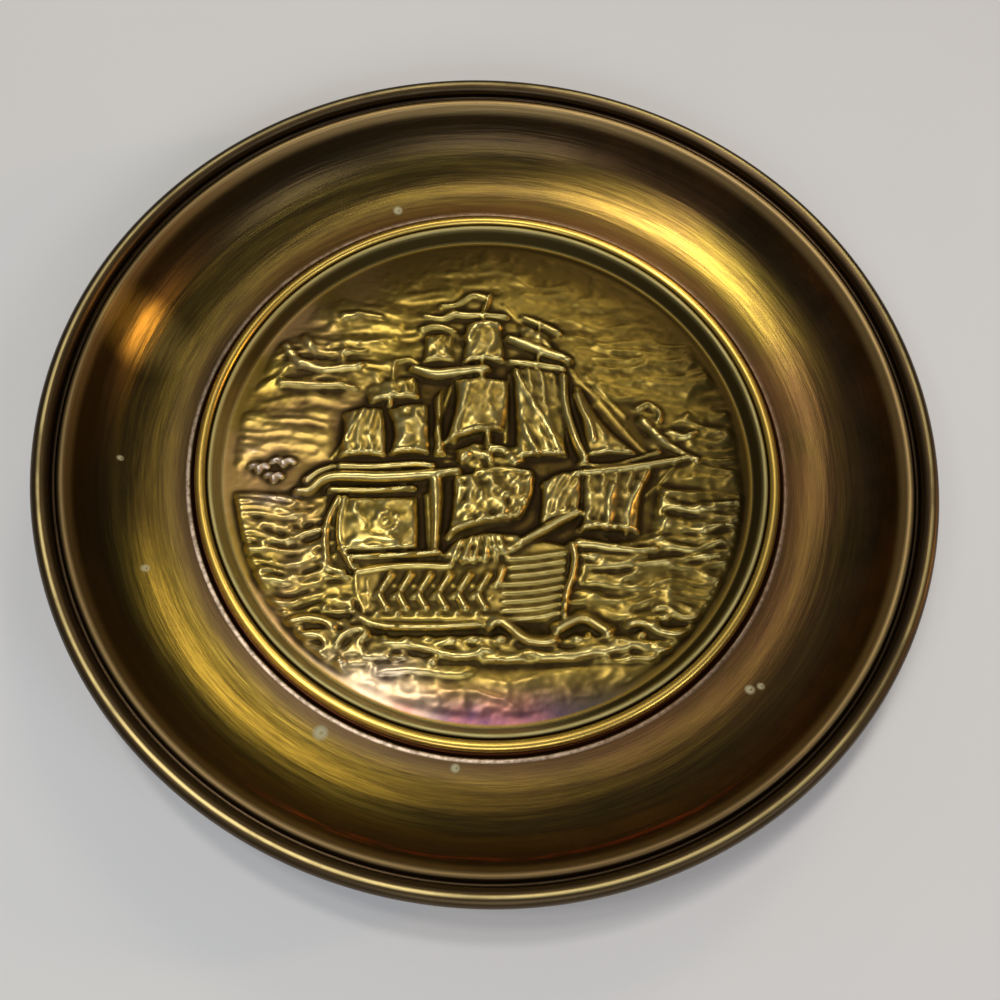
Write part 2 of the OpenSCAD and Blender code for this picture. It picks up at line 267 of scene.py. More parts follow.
class Profiles:
    """Bends of every sheet, worked out from the settings."""

    def __init__(self, dish, medal, hanger):
        self.press(dish, medal)
        self.roll(dish)
        self.spin(dish)
        self.hang(hanger)

    def press(self, dish, medal):
        """The medallion's field, rib and lip, and the middle of the ring's wire."""
        mid, ring = medal.sheet / 2, medal.ring_wire / 2
        rib_r, lip_r = medal.rib_round - mid, LIP_ROUND + mid
        lip_top = dish.ledge_height + FIT + medal.sheet
        field = Vector((medal.field_radius - FIELD_ROUND, medal.field_height + FIELD_ROUND))
        rib = Vector((field.x + medal.rib_width, medal.rib_height - medal.rib_round))
        lip = Vector((rib.x + medal.rib_round + LIP_GAP, lip_top + LIP_ROUND))
        bevel = rise_slope(field, FIELD_ROUND + mid, rib, rib_r)
        flank = drop_slope(rib, rib_r, lip, lip_r)
        self.field_c, self.rib_c = field, rib
        self.ring_c = Vector((rib.x + medal.rib_round + RING_GAP + ring, lip_top + FIT + ring))
        self.ring_side = self.ring_c.x + ring + RING_GAP
        self.lip_end = Vector((self.ring_c.x + LIP_UNDER_RING * ring, lip_top - mid))
        self.medal_bends = [
            (field, FIELD_ROUND + mid, -QUARTER, bevel - QUARTER),
            (rib, rib_r, bevel + QUARTER, flank + QUARTER),
            (lip, lip_r, flank - QUARTER, -QUARTER)]

    def roll(self, dish):
        """Middles of the rolled rim, its groove and its ridge."""
        half = dish.sheet / 2
        self.roll_r = dish.wire / 2 + FIT + half
        outer = self.roll_r + half
        self.roll_c = Vector((dish.radius - outer, dish.height - outer))
        ridge_height = dish.height - dish.ridge_drop
        groove_z = ridge_height - dish.groove_depth + dish.groove_round
        self.groove_c = beside(self.roll_c, groove_z, dish.groove_round + half + self.roll_r)
        ridge_z = ridge_height - dish.ridge_round
        self.ridge_c = beside(self.groove_c, ridge_z, dish.ridge_round + dish.groove_round)

    def spin(self, dish):
        """The dish, from its flat floor over the crest and the cavetto to the rolled rim."""
        half, edge = dish.sheet / 2, dish.edge_round
        floor = Vector((self.field_c.x + FLOOR_GAP, dish.sheet + FLOOR_ROUND))
        ledge = Vector((self.rib_c.x + LEDGE_GAP, dish.ledge_height - edge))
        channel = Vector((self.ring_side, dish.ledge_height + CHANNEL_ROUND))
        crest = Vector((channel.x + CREST_GAP, dish.crest_height - edge))
        wall = rise_slope(floor, FLOOR_ROUND + half, ledge, edge - half)
        riser = rise_slope(channel, CHANNEL_ROUND + half, crest, edge - half)

        span = self.ridge_c - crest
        fall = Vector((math.sin(dish.crest_fall), math.cos(dish.crest_fall)))
        extra = dish.ridge_round - edge
        reach = (span.dot(span) - extra ** 2 - dish.band ** 2) / (2 * (span.dot(fall) + extra))
        cavetto = crest + reach * fall
        cavetto_r = reach - (edge - half)
        ridge_r = dish.ridge_round - half
        slope = heading(self.ridge_c - cavetto) + math.atan2(cavetto_r + ridge_r, dish.band)
        lift = heading(self.groove_c - self.ridge_c)
        roll_in = heading(self.roll_c - self.groove_c)
        self.crest = crest.x
        self.cavetto_c, self.under_r = cavetto, cavetto_r + half
        self.band_start = cavetto.x + (cavetto_r - half) * math.sin(slope)
        self.dish_bends = [
            (floor, FLOOR_ROUND + half, -QUARTER, wall - QUARTER),
            (ledge, edge - half, wall + QUARTER, QUARTER),
            (channel, CHANNEL_ROUND + half, -QUARTER, riser - QUARTER),
            (crest, edge - half, riser + QUARTER, QUARTER - dish.crest_fall),
            (cavetto, cavetto_r, -QUARTER - dish.crest_fall, slope - QUARTER),
            (self.ridge_c, ridge_r, slope + QUARTER, lift),
            (self.groove_c, dish.groove_round + half, lift + math.pi, roll_in + 2 * math.pi),
            (self.roll_c, self.roll_r, roll_in + math.pi, ROLL_END)]

    def hang(self, hanger):
        """The strap, whose tail follows the underside and whose end curls around the pin."""
        pin = Vector((PIN.y, PIN.z))
        angle = heading(pin - self.cavetto_c)
        inner = self.under_r + FIT + hanger.solder + FIT
        knuckle_r = hanger.wire / 2 + hanger.clearance + hanger.strap / 2
        self.strap_bends = [
            (self.cavetto_c, inner + hanger.strap / 2, angle - hanger.tail / inner, angle - TAIL_END),
            (pin, knuckle_r, angle + math.pi, angle + math.pi - CURL)]


def profiles():
    """The bends that the scene's settings give."""
    groups = ("wall_dish", "wall_dish_medallion", "wall_dish_hanger")
    return Profiles(*(settings(group) for group in groups))


# ---------------------------------------------------------------- node kit

def math_node(operation, swapped=False):
    """A method that adds one Math node to a socket and another value."""
    def method(self, other=0.5):
        first, second = (other, self) if swapped else (self, other)
        return self.bench.add("ShaderNodeMath", {"operation": operation}, {0: first, 1: second})
    return method


class Tone:
    """An output socket. Arithmetic on one that carries a number adds its Math nodes."""

    def __init__(self, bench, socket):
        self.bench, self.socket = bench, socket

    __add__ = math_node("ADD")
    __radd__ = math_node("ADD", swapped=True)
    __sub__ = math_node("SUBTRACT")
    __rsub__ = math_node("SUBTRACT", swapped=True)
    __mul__ = math_node("MULTIPLY")
    __rmul__ = math_node("MULTIPLY", swapped=True)
    __truediv__ = math_node("DIVIDE")
    __rtruediv__ = math_node("DIVIDE", swapped=True)
    __pow__ = math_node("POWER")
    __rpow__ = math_node("POWER", swapped=True)
    least = math_node("MINIMUM")
    most = math_node("MAXIMUM")
    size = math_node("ABSOLUTE")
    floor = math_node("FLOOR")
    sine = math_node("SINE")
    cosine = math_node("COSINE")

    def ramp(self, low, high, to_low=0.0, to_high=1.0):
        """Smoothly from to_low at low to to_high at high, and level outside."""
        return self.bench.add("ShaderNodeMapRange", {"interpolation_type": "SMOOTHSTEP"},
                              {0: self, 1: low, 2: high, 3: to_low, 4: to_high})

    def band(self, middle, half, soft):
        """One within half of middle, falling to nought over soft."""
        return (self - middle).size().ramp(half, half + soft, 1.0, 0.0)


class Bench:
    """A node tree, and the one way that nodes are added to it."""

    def __init__(self, tree):
        self.tree = tree

    def node(self, kind, choices=None, sockets=None):
        """Adds a node. Its choices are set first, then its sockets by name or number."""
        node = self.tree.nodes.new(kind)
        for key, value in (choices or {}).items():
            setattr(node, key, value)
        for key, value in (sockets or {}).items():
            self.feed(node.inputs[key], value)
        return node

    def add(self, kind, choices=None, sockets=None, out=0):
        """Adds a node and returns one of its outputs."""
        return Tone(self, self.node(kind, choices, sockets).outputs[out])

    def feed(self, socket, value):
        """Links a socket to an output, or gives it a plain value."""
        if isinstance(value, Tone):
            self.tree.links.new(value.socket, socket)
        elif socket.type == "RGBA":
            socket.default_value = (*value, 1.0)
        else:
            socket.default_value = value

    def axes(self, vector):
        """The three parts of a vector."""
        return [Tone(self, out) for out in self.node("ShaderNodeSeparateXYZ", None, {0: vector}).outputs]

    def vector(self, x, y, z):
        """A vector from its three parts."""
        return self.add("ShaderNodeCombineXYZ", None, {0: x, 1: y, 2: z})


# ---------------------------------------------------------------- meshes

NEAR = 1e-7                     # points closer than this, in metres, are one point
SHARP = {"turned": 50, "pressed": 70, "strip": 40}   # edges that bend more stay sharp, in degrees


def new_object(name, data):
    """Puts a mesh, light or camera into the scene."""
    obj = bpy.data.objects.new(name, data)
    bpy.context.scene.collection.objects.link(obj)
    return obj


def shade(mesh, make):
    """Smooths a mesh, apart from the edges that stay sharp on that make of piece."""
    mesh.shade_smooth()
    mesh.set_sharp_from_angle(angle=math.radians(SHARP[make]))


def face_outward(mesh):
    """Merges doubled points and turns every face outward."""
    bm = bmesh.new()
    bm.from_mesh(mesh)
    bmesh.ops.remove_doubles(bm, verts=bm.verts, dist=NEAR)
    bmesh.ops.dissolve_degenerate(bm, edges=bm.edges, dist=NEAR / 10)
    bmesh.ops.recalc_face_normals(bm, faces=bm.faces)
    if bm.calc_volume(signed=True) < 0:
        bmesh.ops.reverse_faces(bm, faces=bm.faces)
    bm.to_mesh(mesh)
    bm.free()


def line_object(name, points, closed=False):
    """A mesh of points and edges, which a node tree turns into a solid."""
    mesh = bpy.data.meshes.new(name)
    edges = [(i, i + 1) for i in range(len(points) - 1)]
    if closed:
        edges.append((len(points) - 1, 0))
    mesh.from_pydata([tuple(Vector(p) * MM) for p in points], edges, [])
    return new_object(name, mesh)


class GeometryBench(Bench):
    """A geometry tree with named inputs, which ends in a real mesh with its material."""

    def __init__(self, name, inputs):
        super().__init__(bpy.data.node_groups.new(name, "GeometryNodeTree"))
        ends = self.tree.interface
        for label, kind in (("Geometry", "Geometry"), *inputs, ("Material", "Material")):
            ends.new_socket(name=label, in_out="INPUT", socket_type="NodeSocket" + kind)
        ends.new_socket(name="Geometry", in_out="OUTPUT", socket_type="NodeSocketGeometry")
        self.source = self.node("NodeGroupInput")

    def given(self, name):
        """One of the tree's inputs."""
        return Tone(self, self.source.outputs[name])

    def finish(self, geometry):
        """Smooths the result and ends the tree in Realize Instances and Set Material."""
        even = self.add("GeometryNodeSetShadeSmooth", None, {"Geometry": geometry})
        real = self.add("GeometryNodeRealizeInstances", None, {"Geometry": even})
        done = self.add("GeometryNodeSetMaterial", None,
                        {"Geometry": real, "Material": self.given("Material")})
        self.node("NodeGroupOutput", None, {"Geometry": done})
        return self.tree


def revolve_tree():
    """Turns a run of points in the XZ plane about Z into a closed solid."""
    bench = GeometryBench("wall_dish_revolve", [("Around", "Int")])
    profile, around = bench.given("Geometry"), bench.given("Around")
    count = bench.add("GeometryNodeAttributeDomainSize", {"component": "MESH"}, {"Geometry": profile})
    rows = around + 1.0
    grid = bench.add("GeometryNodeMeshGrid", None, {0: 1.0, 1: 1.0, 2: count, 3: rows})
    index = bench.add("GeometryNodeInputIndex")
    row = ((index + 0.5) / rows).floor()
    angle = (index - row * rows) / around * (2 * math.pi)
    spot = bench.add("GeometryNodeSampleIndex", {"data_type": "FLOAT_VECTOR"},
                     {"Geometry": profile, "Value": bench.add("GeometryNodeInputPosition"), "Index": row})
    outward, _, height = bench.axes(spot)
    turned = bench.vector(outward * angle.cosine(), outward * angle.sine(), height)
    moved = bench.add("GeometryNodeSetPosition", None, {"Geometry": grid, "Position": turned})
    return bench.finish(bench.add("GeometryNodeMergeByDistance", None,
                                  {"Geometry": moved, "Distance": NEAR * 10}))


def sweep_tree():
    """Draws a round wire along a closed run of points."""
    bench = GeometryBench("wall_dish_wire", [("Radius", "Float"), ("Steps", "Int")])
    path = bench.add("GeometryNodeMeshToCurve", None, {"Mesh": bench.given("Geometry")})
    ring = bench.add("GeometryNodeCurvePrimitiveCircle", {"mode": "RADIUS"},
                     {"Resolution": bench.given("Steps"), "Radius": bench.given("Radius")})
    return bench.finish(bench.add("GeometryNodeCurveToMesh", None, {"Curve": path, "Profile Curve": ring}))


def grown(name, source, tree, **inputs):
    """Runs a tree on an object and returns a plain mesh object with its faces outward."""
    modifier = source.modifiers.new("grow", "NODES")
    modifier.node_group = tree
    for item in tree.interface.items_tree:
        if item.in_out == "INPUT" and item.name in inputs:
            modifier[item.identifier] = inputs[item.name]
    depsgraph = bpy.context.evaluated_depsgraph_get()
    mesh = bpy.data.meshes.new_from_object(source.evaluated_get(depsgraph), depsgraph=depsgraph)
    source.modifiers.remove(modifier)
    bpy.data.objects.remove(source)
    mesh.name = name
    face_outward(mesh)
    shade(mesh, "turned")
    return new_object(name, mesh)


def revolved(name, points, around, material):
    """A solid turned from an outline, which is given as radius and height in millimetres."""
    source = line_object(name + "_profile", [(p.x, 0, p.y) for p in points])
    return grown(name, source, revolve_tree(), Around=around, Material=material)


# ---------------------------------------------------------------- the pressed picture

LATTICE = (61, 67)              # size of a noise table, after which the noise repeats
SOFTNESS = 0.23                 # blur that a thin pressing has, in millimetres
HOLLOW_REACH = 0.9              # blur that a height is compared with to find the hollows
NET_MARGIN = 0.4                # plain ring between the picture's net and the rib's bend
BORDER = (1.5, 1.6)             # where the picture starts to fade inside the field, and how wide


def smooth(value):
    """Eases a share from nought to one, level at both ends."""
    share = np.clip(value, 0, 1)
    return share * share * (3 - 2 * share)


def rounded(points, steps=6):
    """A curve through some points, as points closer together."""
    p = np.array(points, dtype=float)
    padded = np.vstack([2 * p[0] - p[1], p, 2 * p[-1] - p[-2]])
    t = np.linspace(0, 1, steps, endpoint=False)[:, None]
    out = []
    for a, b, c, d in zip(padded[:-3], padded[1:-2], padded[2:-1], padded[3:]):
        out.append(b + 0.5 * t * (c - a + t * (2 * a - 5 * b + 4 * c - d
                                               + t * (3 * b - a - 3 * c + d))))
    return np.vstack(out + [p[-1:]])


def lattice_noise(x, y, seed):
    """Smooth noise from nought to one, with one random value at each whole x and y."""
    table = np.random.default_rng(seed).random(LATTICE)
    i, j = np.floor(x).astype(int), np.floor(y).astype(int)
    u, v = smooth(x - i), smooth(y - j)
    wide, high = LATTICE
    corner = [[table[(i + di) % wide, (j + dj) % high] for dj in (0, 1)] for di in (0, 1)]
    return ((corner[0][0] * (1 - u) + corner[1][0] * u) * (1 - v)
            + (corner[0][1] * (1 - u) + corner[1][1] * u) * v)


class Picture:
    """Heights of the relief above the field, in millimetres, on a square raster.

    Places and widths are in hundredths of the dish's radius, from the dish's axis.
    """

    def __init__(self, field_radius, unit, pitch=0.15):
        self.pitch = pitch
        self.low = -field_radius
        count = int(2 * field_radius / pitch) + 1
        self.axis = (self.low + pitch * np.arange(count)) / unit
        self.heights = np.zeros((count, count))

    def window(self, points, margin):
        """The part of the raster near some points, as slices and as X and Y arrays."""
        p = np.array(points, dtype=float)
        low, high = p.min(0) - margin, p.max(0) + margin
        cols = slice(*np.searchsorted(self.axis, (low[0], high[0])))
        rows = slice(*np.searchsorted(self.axis, (low[1], high[1])))
        x, y = np.meshgrid(self.axis[cols], self.axis[rows])
        return (rows, cols), x, y

    def put(self, place, heights):
        """Joins a shape to what is there, with a small fillet where they meet."""
        there = np.clip(self.heights[place], 0, None)
        self.heights[place] = (there ** 5 + np.clip(heights, 0, None) ** 5) ** 0.2

    def near(self, points, margin):
        """Distance to a curve, share run along it, and side: +1 on its left, -1 on its right."""
        place, x, y = self.window(points, margin)
        steps = np.hypot(*(points[1:] - points[:-1]).T)
        run = np.concatenate([[0], np.cumsum(steps)]) / steps.sum()
        gap, share, side = np.full_like(x, 1e9), np.zeros_like(x), np.ones_like(x)
        for a, b, s, e in zip(points[:-1], points[1:], run[:-1], run[1:]):
            d = b - a
            t = np.clip(((x - a[0]) * d[0] + (y - a[1]) * d[1]) / (d @ d), 0, 1)
            dist = np.hypot(x - a[0] - t * d[0], y - a[1] - t * d[1])
            closer = dist < gap
            gap = np.where(closer, dist, gap)
            share = np.where(closer, s + (e - s) * t, share)
            side = np.where(closer, np.sign(d[0] * (y - a[1]) - d[1] * (x - a[0])), side)
        return place, gap, share, side

    def bar(self, points, half, height, tip=None, on_top=False):
        """A rounded bar along a curve. tip is its half width at the last point."""
        tip = half if tip is None else tip
        place, gap, share, _ = self.near(rounded(points), max(half, tip))
        width = half + (tip - half) * share
        rise = np.clip(1 - (gap / width) ** 2, 0, 1) ** 0.85 * height
        if on_top:
            self.heights[place] += rise
        else:
            self.put(place, rise)

    def spar(self, points, half, height):
        """A yard: thickest in its middle, with tapered ends."""
        place, gap, share, _ = self.near(rounded(points), half)
        width = half * (0.55 + 0.45 * np.sin(math.pi * np.clip(share, 0.02, 0.98)) ** 0.5)
        self.put(place, np.clip(1 - (gap / width) ** 2, 0, 1) ** 0.7 * height)

    def rope(self, points, height=0.45, half=0.42):
        """A thin raised line."""
        self.bar(points, half, height, on_top=True)

    def crest(self, points, height, back=2.4, front=0.8, hollow=0.35):
        """A breaking wave: it climbs slowly on its left side and drops sharply on its right."""
        place, gap, share, side = self.near(rounded(points), back * 2)
        fade = smooth(share * 7) * smooth((1 - share) * 7)
        swell = np.where(side > 0, np.exp(-(gap / back) ** 2), np.exp(-(gap / front) ** 2))
        dug = np.where(side < 0, np.exp(-((gap - 2 * front) / front) ** 2), 0)
        self.put(place, height * fade * swell)
        self.heights[place] -= hollow * fade * dug * np.minimum(1, self.heights[place] + 0.4)

    def knob(self, x0, y0, radius, height, tall=1.0, on_top=False):
        """A rounded boss, tall times as high as it is wide on the picture."""
        place, x, y = self.window([(x0, y0)], radius * max(1, tall))
        gap = ((x - x0) ** 2 + ((y - y0) / tall) ** 2) / radius ** 2
        rise = np.clip(1 - gap, 0, 1) ** 0.8 * height
        if on_top:
            self.heights[place] += rise
        else:
            self.put(place, rise)

    def depth_inside(self, points):
        """Depth inside an outline, which is below nought outside it."""
        place, x, y = self.window(points, 0.5)
        p = np.array(points, dtype=float)
        depth = np.full_like(x, 1e9)
        odd = np.zeros(x.shape, bool)
        for a, b in zip(p, np.roll(p, -1, 0)):
            d = b - a
            t = np.clip(((x - a[0]) * d[0] + (y - a[1]) * d[1]) / (d @ d), 0, 1)
            depth = np.minimum(depth, np.hypot(x - a[0] - t * d[0], y - a[1] - t * d[1]))
            crosses = (a[1] > y) != (b[1] > y)
            with np.errstate(divide="ignore", invalid="ignore"):
                odd ^= crosses & (x < d[0] * (y - a[1]) / d[1] + a[0])
        return place, x, y, np.where(odd, depth, -depth)

    def slab(self, points, height, edge=1.0, lumps=0.0, seed=1):
        """A raised patch with sloped edges, and lumps of that height on it."""
        place, x, y, depth = self.depth_inside(points)
        top = height + lumps * (lattice_noise(x / 1.5, y / 1.5, seed) - 0.4)
        self.put(place, smooth(depth / edge) * top)

    def streaks(self, points, long, tall, height, seed, fade=3.0, base=0.0):
        """Short wavy ridges that lie one above the other, as on pressed water."""
        place, x, y, depth = self.depth_inside(points)
        bend = 0.8 * np.sin(0.16 * x + seed) + 0.5 * np.sin(0.37 * x + 2 * seed)
        coarse = lattice_noise(x / long, (y + bend) / tall, seed)
        fine = lattice_noise(x / long * 2.3 + 9, (y + bend) / tall * 1.9, seed + 1)
        ridge = 1 - np.abs(2 * coarse - 1)
        sharp = ridge ** 1.6 + 0.45 * (1 - np.abs(2 * fine - 1)) ** 2
        self.put(place, smooth(depth / fade) * (base + height * sharp / 1.3))

    def sail(self, corners, base, belly, folds, fold_height, bows=(0, 0, 0, 0), lean=0.0, hem=0.3,
             edge=0.9, lumps=0.0, seed=1):
        """A filled sail between its four corners: top left, top right, foot right, foot left.

        bows push its left side, right side, head and foot out of line, in the picture's units.
        Folds run from head to foot, and lean turns them across the sail.
        """
        a, b, c, d = np.array(corners, dtype=float)
        left, right, head, foot = bows
        place, x, y = self.window(corners, max(np.abs(bows)) + 1)
        u, v = np.full_like(x, 0.5), np.full_like(x, 0.5)
        for _ in range(9):
            wide = left * (1 - u) + right * u
            high = head * (1 - v) + foot * v
            px = (a[0] * (1 - u) * (1 - v) + b[0] * u * (1 - v) + c[0] * u * v + d[0] * (1 - u) * v
                  + wide * np.sin(math.pi * v)) - x
            py = (a[1] * (1 - u) * (1 - v) + b[1] * u * (1 - v) + c[1] * u * v + d[1] * (1 - u) * v
                  + high * np.sin(math.pi * u)) - y
            xu = (b[0] - a[0]) * (1 - v) + (c[0] - d[0]) * v + (right - left) * np.sin(math.pi * v)
            yu = (b[1] - a[1]) * (1 - v) + (c[1] - d[1]) * v + high * math.pi * np.cos(math.pi * u)
            xv = (d[0] - a[0]) * (1 - u) + (c[0] - b[0]) * u + wide * math.pi * np.cos(math.pi * v)
            yv = (d[1] - a[1]) * (1 - u) + (c[1] - b[1]) * u + (foot - head) * np.sin(math.pi * u)
            det = xu * yv - xv * yu
            det = np.where(np.abs(det) < 1e-3, 1e-3, det)
            u = np.clip(u - (px * yv - py * xv) / det, -0.5, 1.5)
            v = np.clip(v - (py * xu - px * yu) / det, -0.5, 1.5)
        size_u = (np.hypot(*(b - a)) + np.hypot(*(c - d))) / 2
        size_v = (np.hypot(*(d - a)) + np.hypot(*(c - b))) / 2
        side = np.minimum(np.minimum(u, 1 - u) * size_u, np.minimum(v, 1 - v) * size_v)
        inner_u, inner_v = np.clip(u, 0, 1), np.clip(v, 0, 1)
        full = np.sin(math.pi * inner_u ** 0.8) ** 0.8 * np.sin(math.pi * (0.06 + 0.72 * inner_v))
        phase = u * folds + lean * v + 0.35 * np.sin(5 * v + seed)
        creases = (1 - np.abs(np.sin(math.pi * phase))) ** 1.3
        pull = 0.45 + 0.55 * np.abs(2 * inner_v - 1)
        rolled = np.exp(-(((1 - inner_v) * size_v - 0.8) / 0.6) ** 2)
        grain = lumps * (lattice_noise(x / 1.3, y / 1.5, seed) - 0.5)
        top = base + belly * full + fold_height * creases * pull + hem * rolled + grain
        self.put(place, smooth(side / edge) * top)

    def soften(self, radius):
        """Rounds every edge, as pressed sheet is, by a blur of that radius in millimetres."""
        self.heights = blurred(self.heights, radius / self.pitch)

    def sample(self, values, x, y):
        """Values of the raster at places in millimetres."""
        col, row = (x - self.low) / self.pitch, (y - self.low) / self.pitch
        last = values.shape[0] - 2
        c, r = np.clip(col.astype(int), 0, last), np.clip(row.astype(int), 0, last)
        u, v = np.clip(col - c, 0, 1), np.clip(row - r, 0, 1)
        return ((values[r, c] * (1 - u) + values[r, c + 1] * u) * (1 - v)
                + (values[r + 1, c] * (1 - u) + values[r + 1, c + 1] * u) * v)


def blurred(values, sigma):
    """A square raster after a round blur. Its width, sigma, is in steps of the raster."""
    reach = max(1, int(3 * sigma))
    kernel = np.exp(-0.5 * (np.arange(-reach, reach + 1) / max(sigma, 1e-3)) ** 2)
    kernel /= kernel.sum()
    for _ in range(2):
        padded = np.pad(values, ((reach, reach), (0, 0)), mode="edge")
        size = values.shape[0]
        values = sum(k * padded[i:i + size] for i, k in enumerate(kernel)).T
    return values


def press_sky(picture):
    """Bands of cloud, and gulls to the left of the ship."""
    p = picture
    p.streaks([(-60, 12), (-44, 44), (0, 62), (44, 44), (62, 6), (30, 14), (0, 26), (-36, 12)],
              15, 2.6, 0.32, 11, 6.0)
    p.streaks([(-58, 18), (-54, 32), (-46, 36), (-22, 36), (-20, 18)], 8, 2.1, 0.95, 5, 3.5)
    p.streaks([(-42, 44), (-20, 45), (-20, 33), (-42, 34)], 6, 2.2, 0.6, 23, 3.5)
    p.streaks([(-61, 14), (-37, 16), (-37, -1), (-62, -3)], 10, 2.0, 0.4, 8, 3.0)
    p.streaks([(24, 37), (52, 34), (62, 16), (24, 13)], 11, 2.3, 0.62, 14, 4.0)
    p.streaks([(35, 16), (61, 15), (62, -10), (40, -6)], 9, 2.3, 0.8, 31, 3.5)
    p.bar([(-50.5, 31), (-47.5, 26.8), (-43, 24.8), (-38, 24.6), (-32, 25.8)], 1.5, 0.9, 0.9, True)
    p.bar([(-46, 33.6), (-43.6, 30.4), (-39, 29.4), (-31, 30)], 1.3, 0.6, 0.7, True)
    p.bar([(-36.5, 40.2), (-32, 40.7), (-27, 40)], 1.4, 0.7, 0.7, True)
    p.bar([(-51, 21), (-45, 20.2), (-38, 20.4), (-33, 19.4)], 1.3, 0.7, 0.7, True)
    p.bar([(36.5, 14.4), (39.4, 15.6), (42, 13.4), (41.6, 10.8)], 1.1, 0.8, 0.7, True)
    p.bar([(37.4, 11), (41.4, 6), (46, 2.6), (50, 0.4)], 1.3, 1.0, 0.8, True)
    p.bar([(44, 8), (47.4, 6.6), (50.6, 8)], 1.1, 0.8, 0.6, True)
    for x, y, wing in ((-55, -2.6, 2.1), (-49.4, -1.2, 2.6), (-51.4, -5, 1.9)):
        p.bar([(x - wing, y + 0.9), (x - wing * 0.4, y + 1.2), (x, y)], 0.6, 1.3, 0.9)
        p.bar([(x, y), (x + wing * 0.5, y + 1.3), (x + wing, y + 0.7)], 0.9, 1.3, 0.5)


def press_sea(picture):
    """Rippled water beside the ship and the rolling waves under it."""
    p = picture
    p.streaks([(-61, -8), (-38, -8), (-37, -24), (-31, -29), (-30, -39), (-54, -39)],
              7, 1.62, 1.35, 3, 1.6, 0.1)
    p.streaks([(17, -24), (37, -18), (40, -6), (62, -8), (58, -28), (47, -41), (15, -41)],
              9, 1.45, 1.0, 17, 1.8, 0.1)
    for y, x0, x1 in ((-11.5, 41, 59), (-17, 41, 57), (-21.6, 39, 54), (-25.2, 22, 53)):
        p.bar([(x0, y + 1.2), (x0 + 4, y - 0.4), (x0 + 9, y - 0.9), (x1, y + 0.9)], 1.3, 0.6, 0.7, True)
    p.streaks([(-55, -38), (-30, -38), (-27, -50), (-44, -50)], 5, 1.8, 1.1, 41, 1.2, 0.25)
    p.streaks([(-33, -42), (20, -43), (50, -40), (44, -50), (0, -50), (-30, -49)],
              5.5, 1.9, 1.05, 7, 1.2, 0.3)
    p.streaks([(-46, -46), (-10, -47), (2, -53), (-10, -57), (-34, -53)], 5, 2.4, 0.75, 29, 3.0)
    p.streaks([(-34, -50), (0, -49), (44, -46), (40, -56), (0, -64), (-36, -58)],
              11, 5.5, 0.55, 19, 5.0)
    p.crest([(-32.6, -35), (-30.2, -39), (-25, -41), (-15, -41.4), (-6, -41), (0.6, -40.6)],
            1.75, 1.3, 0.75)
    p.crest([(-51.4, -42.6), (-46, -40.2), (-41, -39.2), (-37, -40.4), (-34.6, -43.4)], 1.75, 1.6, 0.8)
    p.crest([(-47, -45), (-43, -43), (-38.6, -43.4), (-36.4, -46)], 1.5, 1.2, 0.7)
    p.crest([(-35.6, -46.4), (-33.4, -43), (-30, -41.6), (-27.4, -43.6)], 1.7, 1.3, 0.8)
    p.crest([(-28, -44.8), (-20, -45.2), (-13, -46.8), (-6, -48), (-2, -46.6), (2.6, -48.4)], 1.5, 1.4, 0.8)
    p.crest([(-2.6, -42.8), (0.8, -40.4), (3.4, -41.8), (7, -44.6), (12.4, -45.2), (15.6, -43)],
            1.95, 2.0, 0.8)
    p.crest([(12.4, -43.6), (16.6, -41), (20.4, -39.8), (24, -42), (27.4, -44.4)], 1.95, 2.2, 0.9)
    p.crest([(4, -46), (11, -48), (20, -47.6), (29, -46.4), (34, -44.2)], 1.35, 1.6, 0.75)
    p.crest([(28.6, -41.6), (33, -40.6), (37, -42.4), (42, -43.4), (49, -42.4)], 1.75, 1.5, 0.8)
    p.crest([(34, -46), (39, -47), (43.6, -48.4), (48.6, -46.6)], 1.4, 1.3, 0.7)
    p.crest([(35.4, -37.4), (39.4, -37), (43, -39.4), (48.6, -39)], 1.3, 1.3, 0.7)
    p.crest([(-28, -51.4), (-18, -50.8), (-9, -52), (-3, -50.6)], 0.95, 2.4, 0.9, 0.2)
    for index, (x, y) in enumerate([(-46.6, -43), (-42, -45.6), (-38.6, -47.4), (-34, -48.6), (-29, -43.4),
                                    (-24.6, -43.4), (-19.6, -43.8), (-15, -43.6), (-9.8, -43.8), (-5, -44),
                                    (1.4, -43.6), (4.2, -44.6), (21.4, -42.8), (18.4, -43.6), (33.4, -43),
                                    (39.4, -39.2), (36.6, -40.6), (45, -41.2), (-22, -48.4), (-14, -49)]):
        p.knob(x, y, 1.35 + 0.25 * math.sin(2.1 * index), 0.75, 0.7, True)


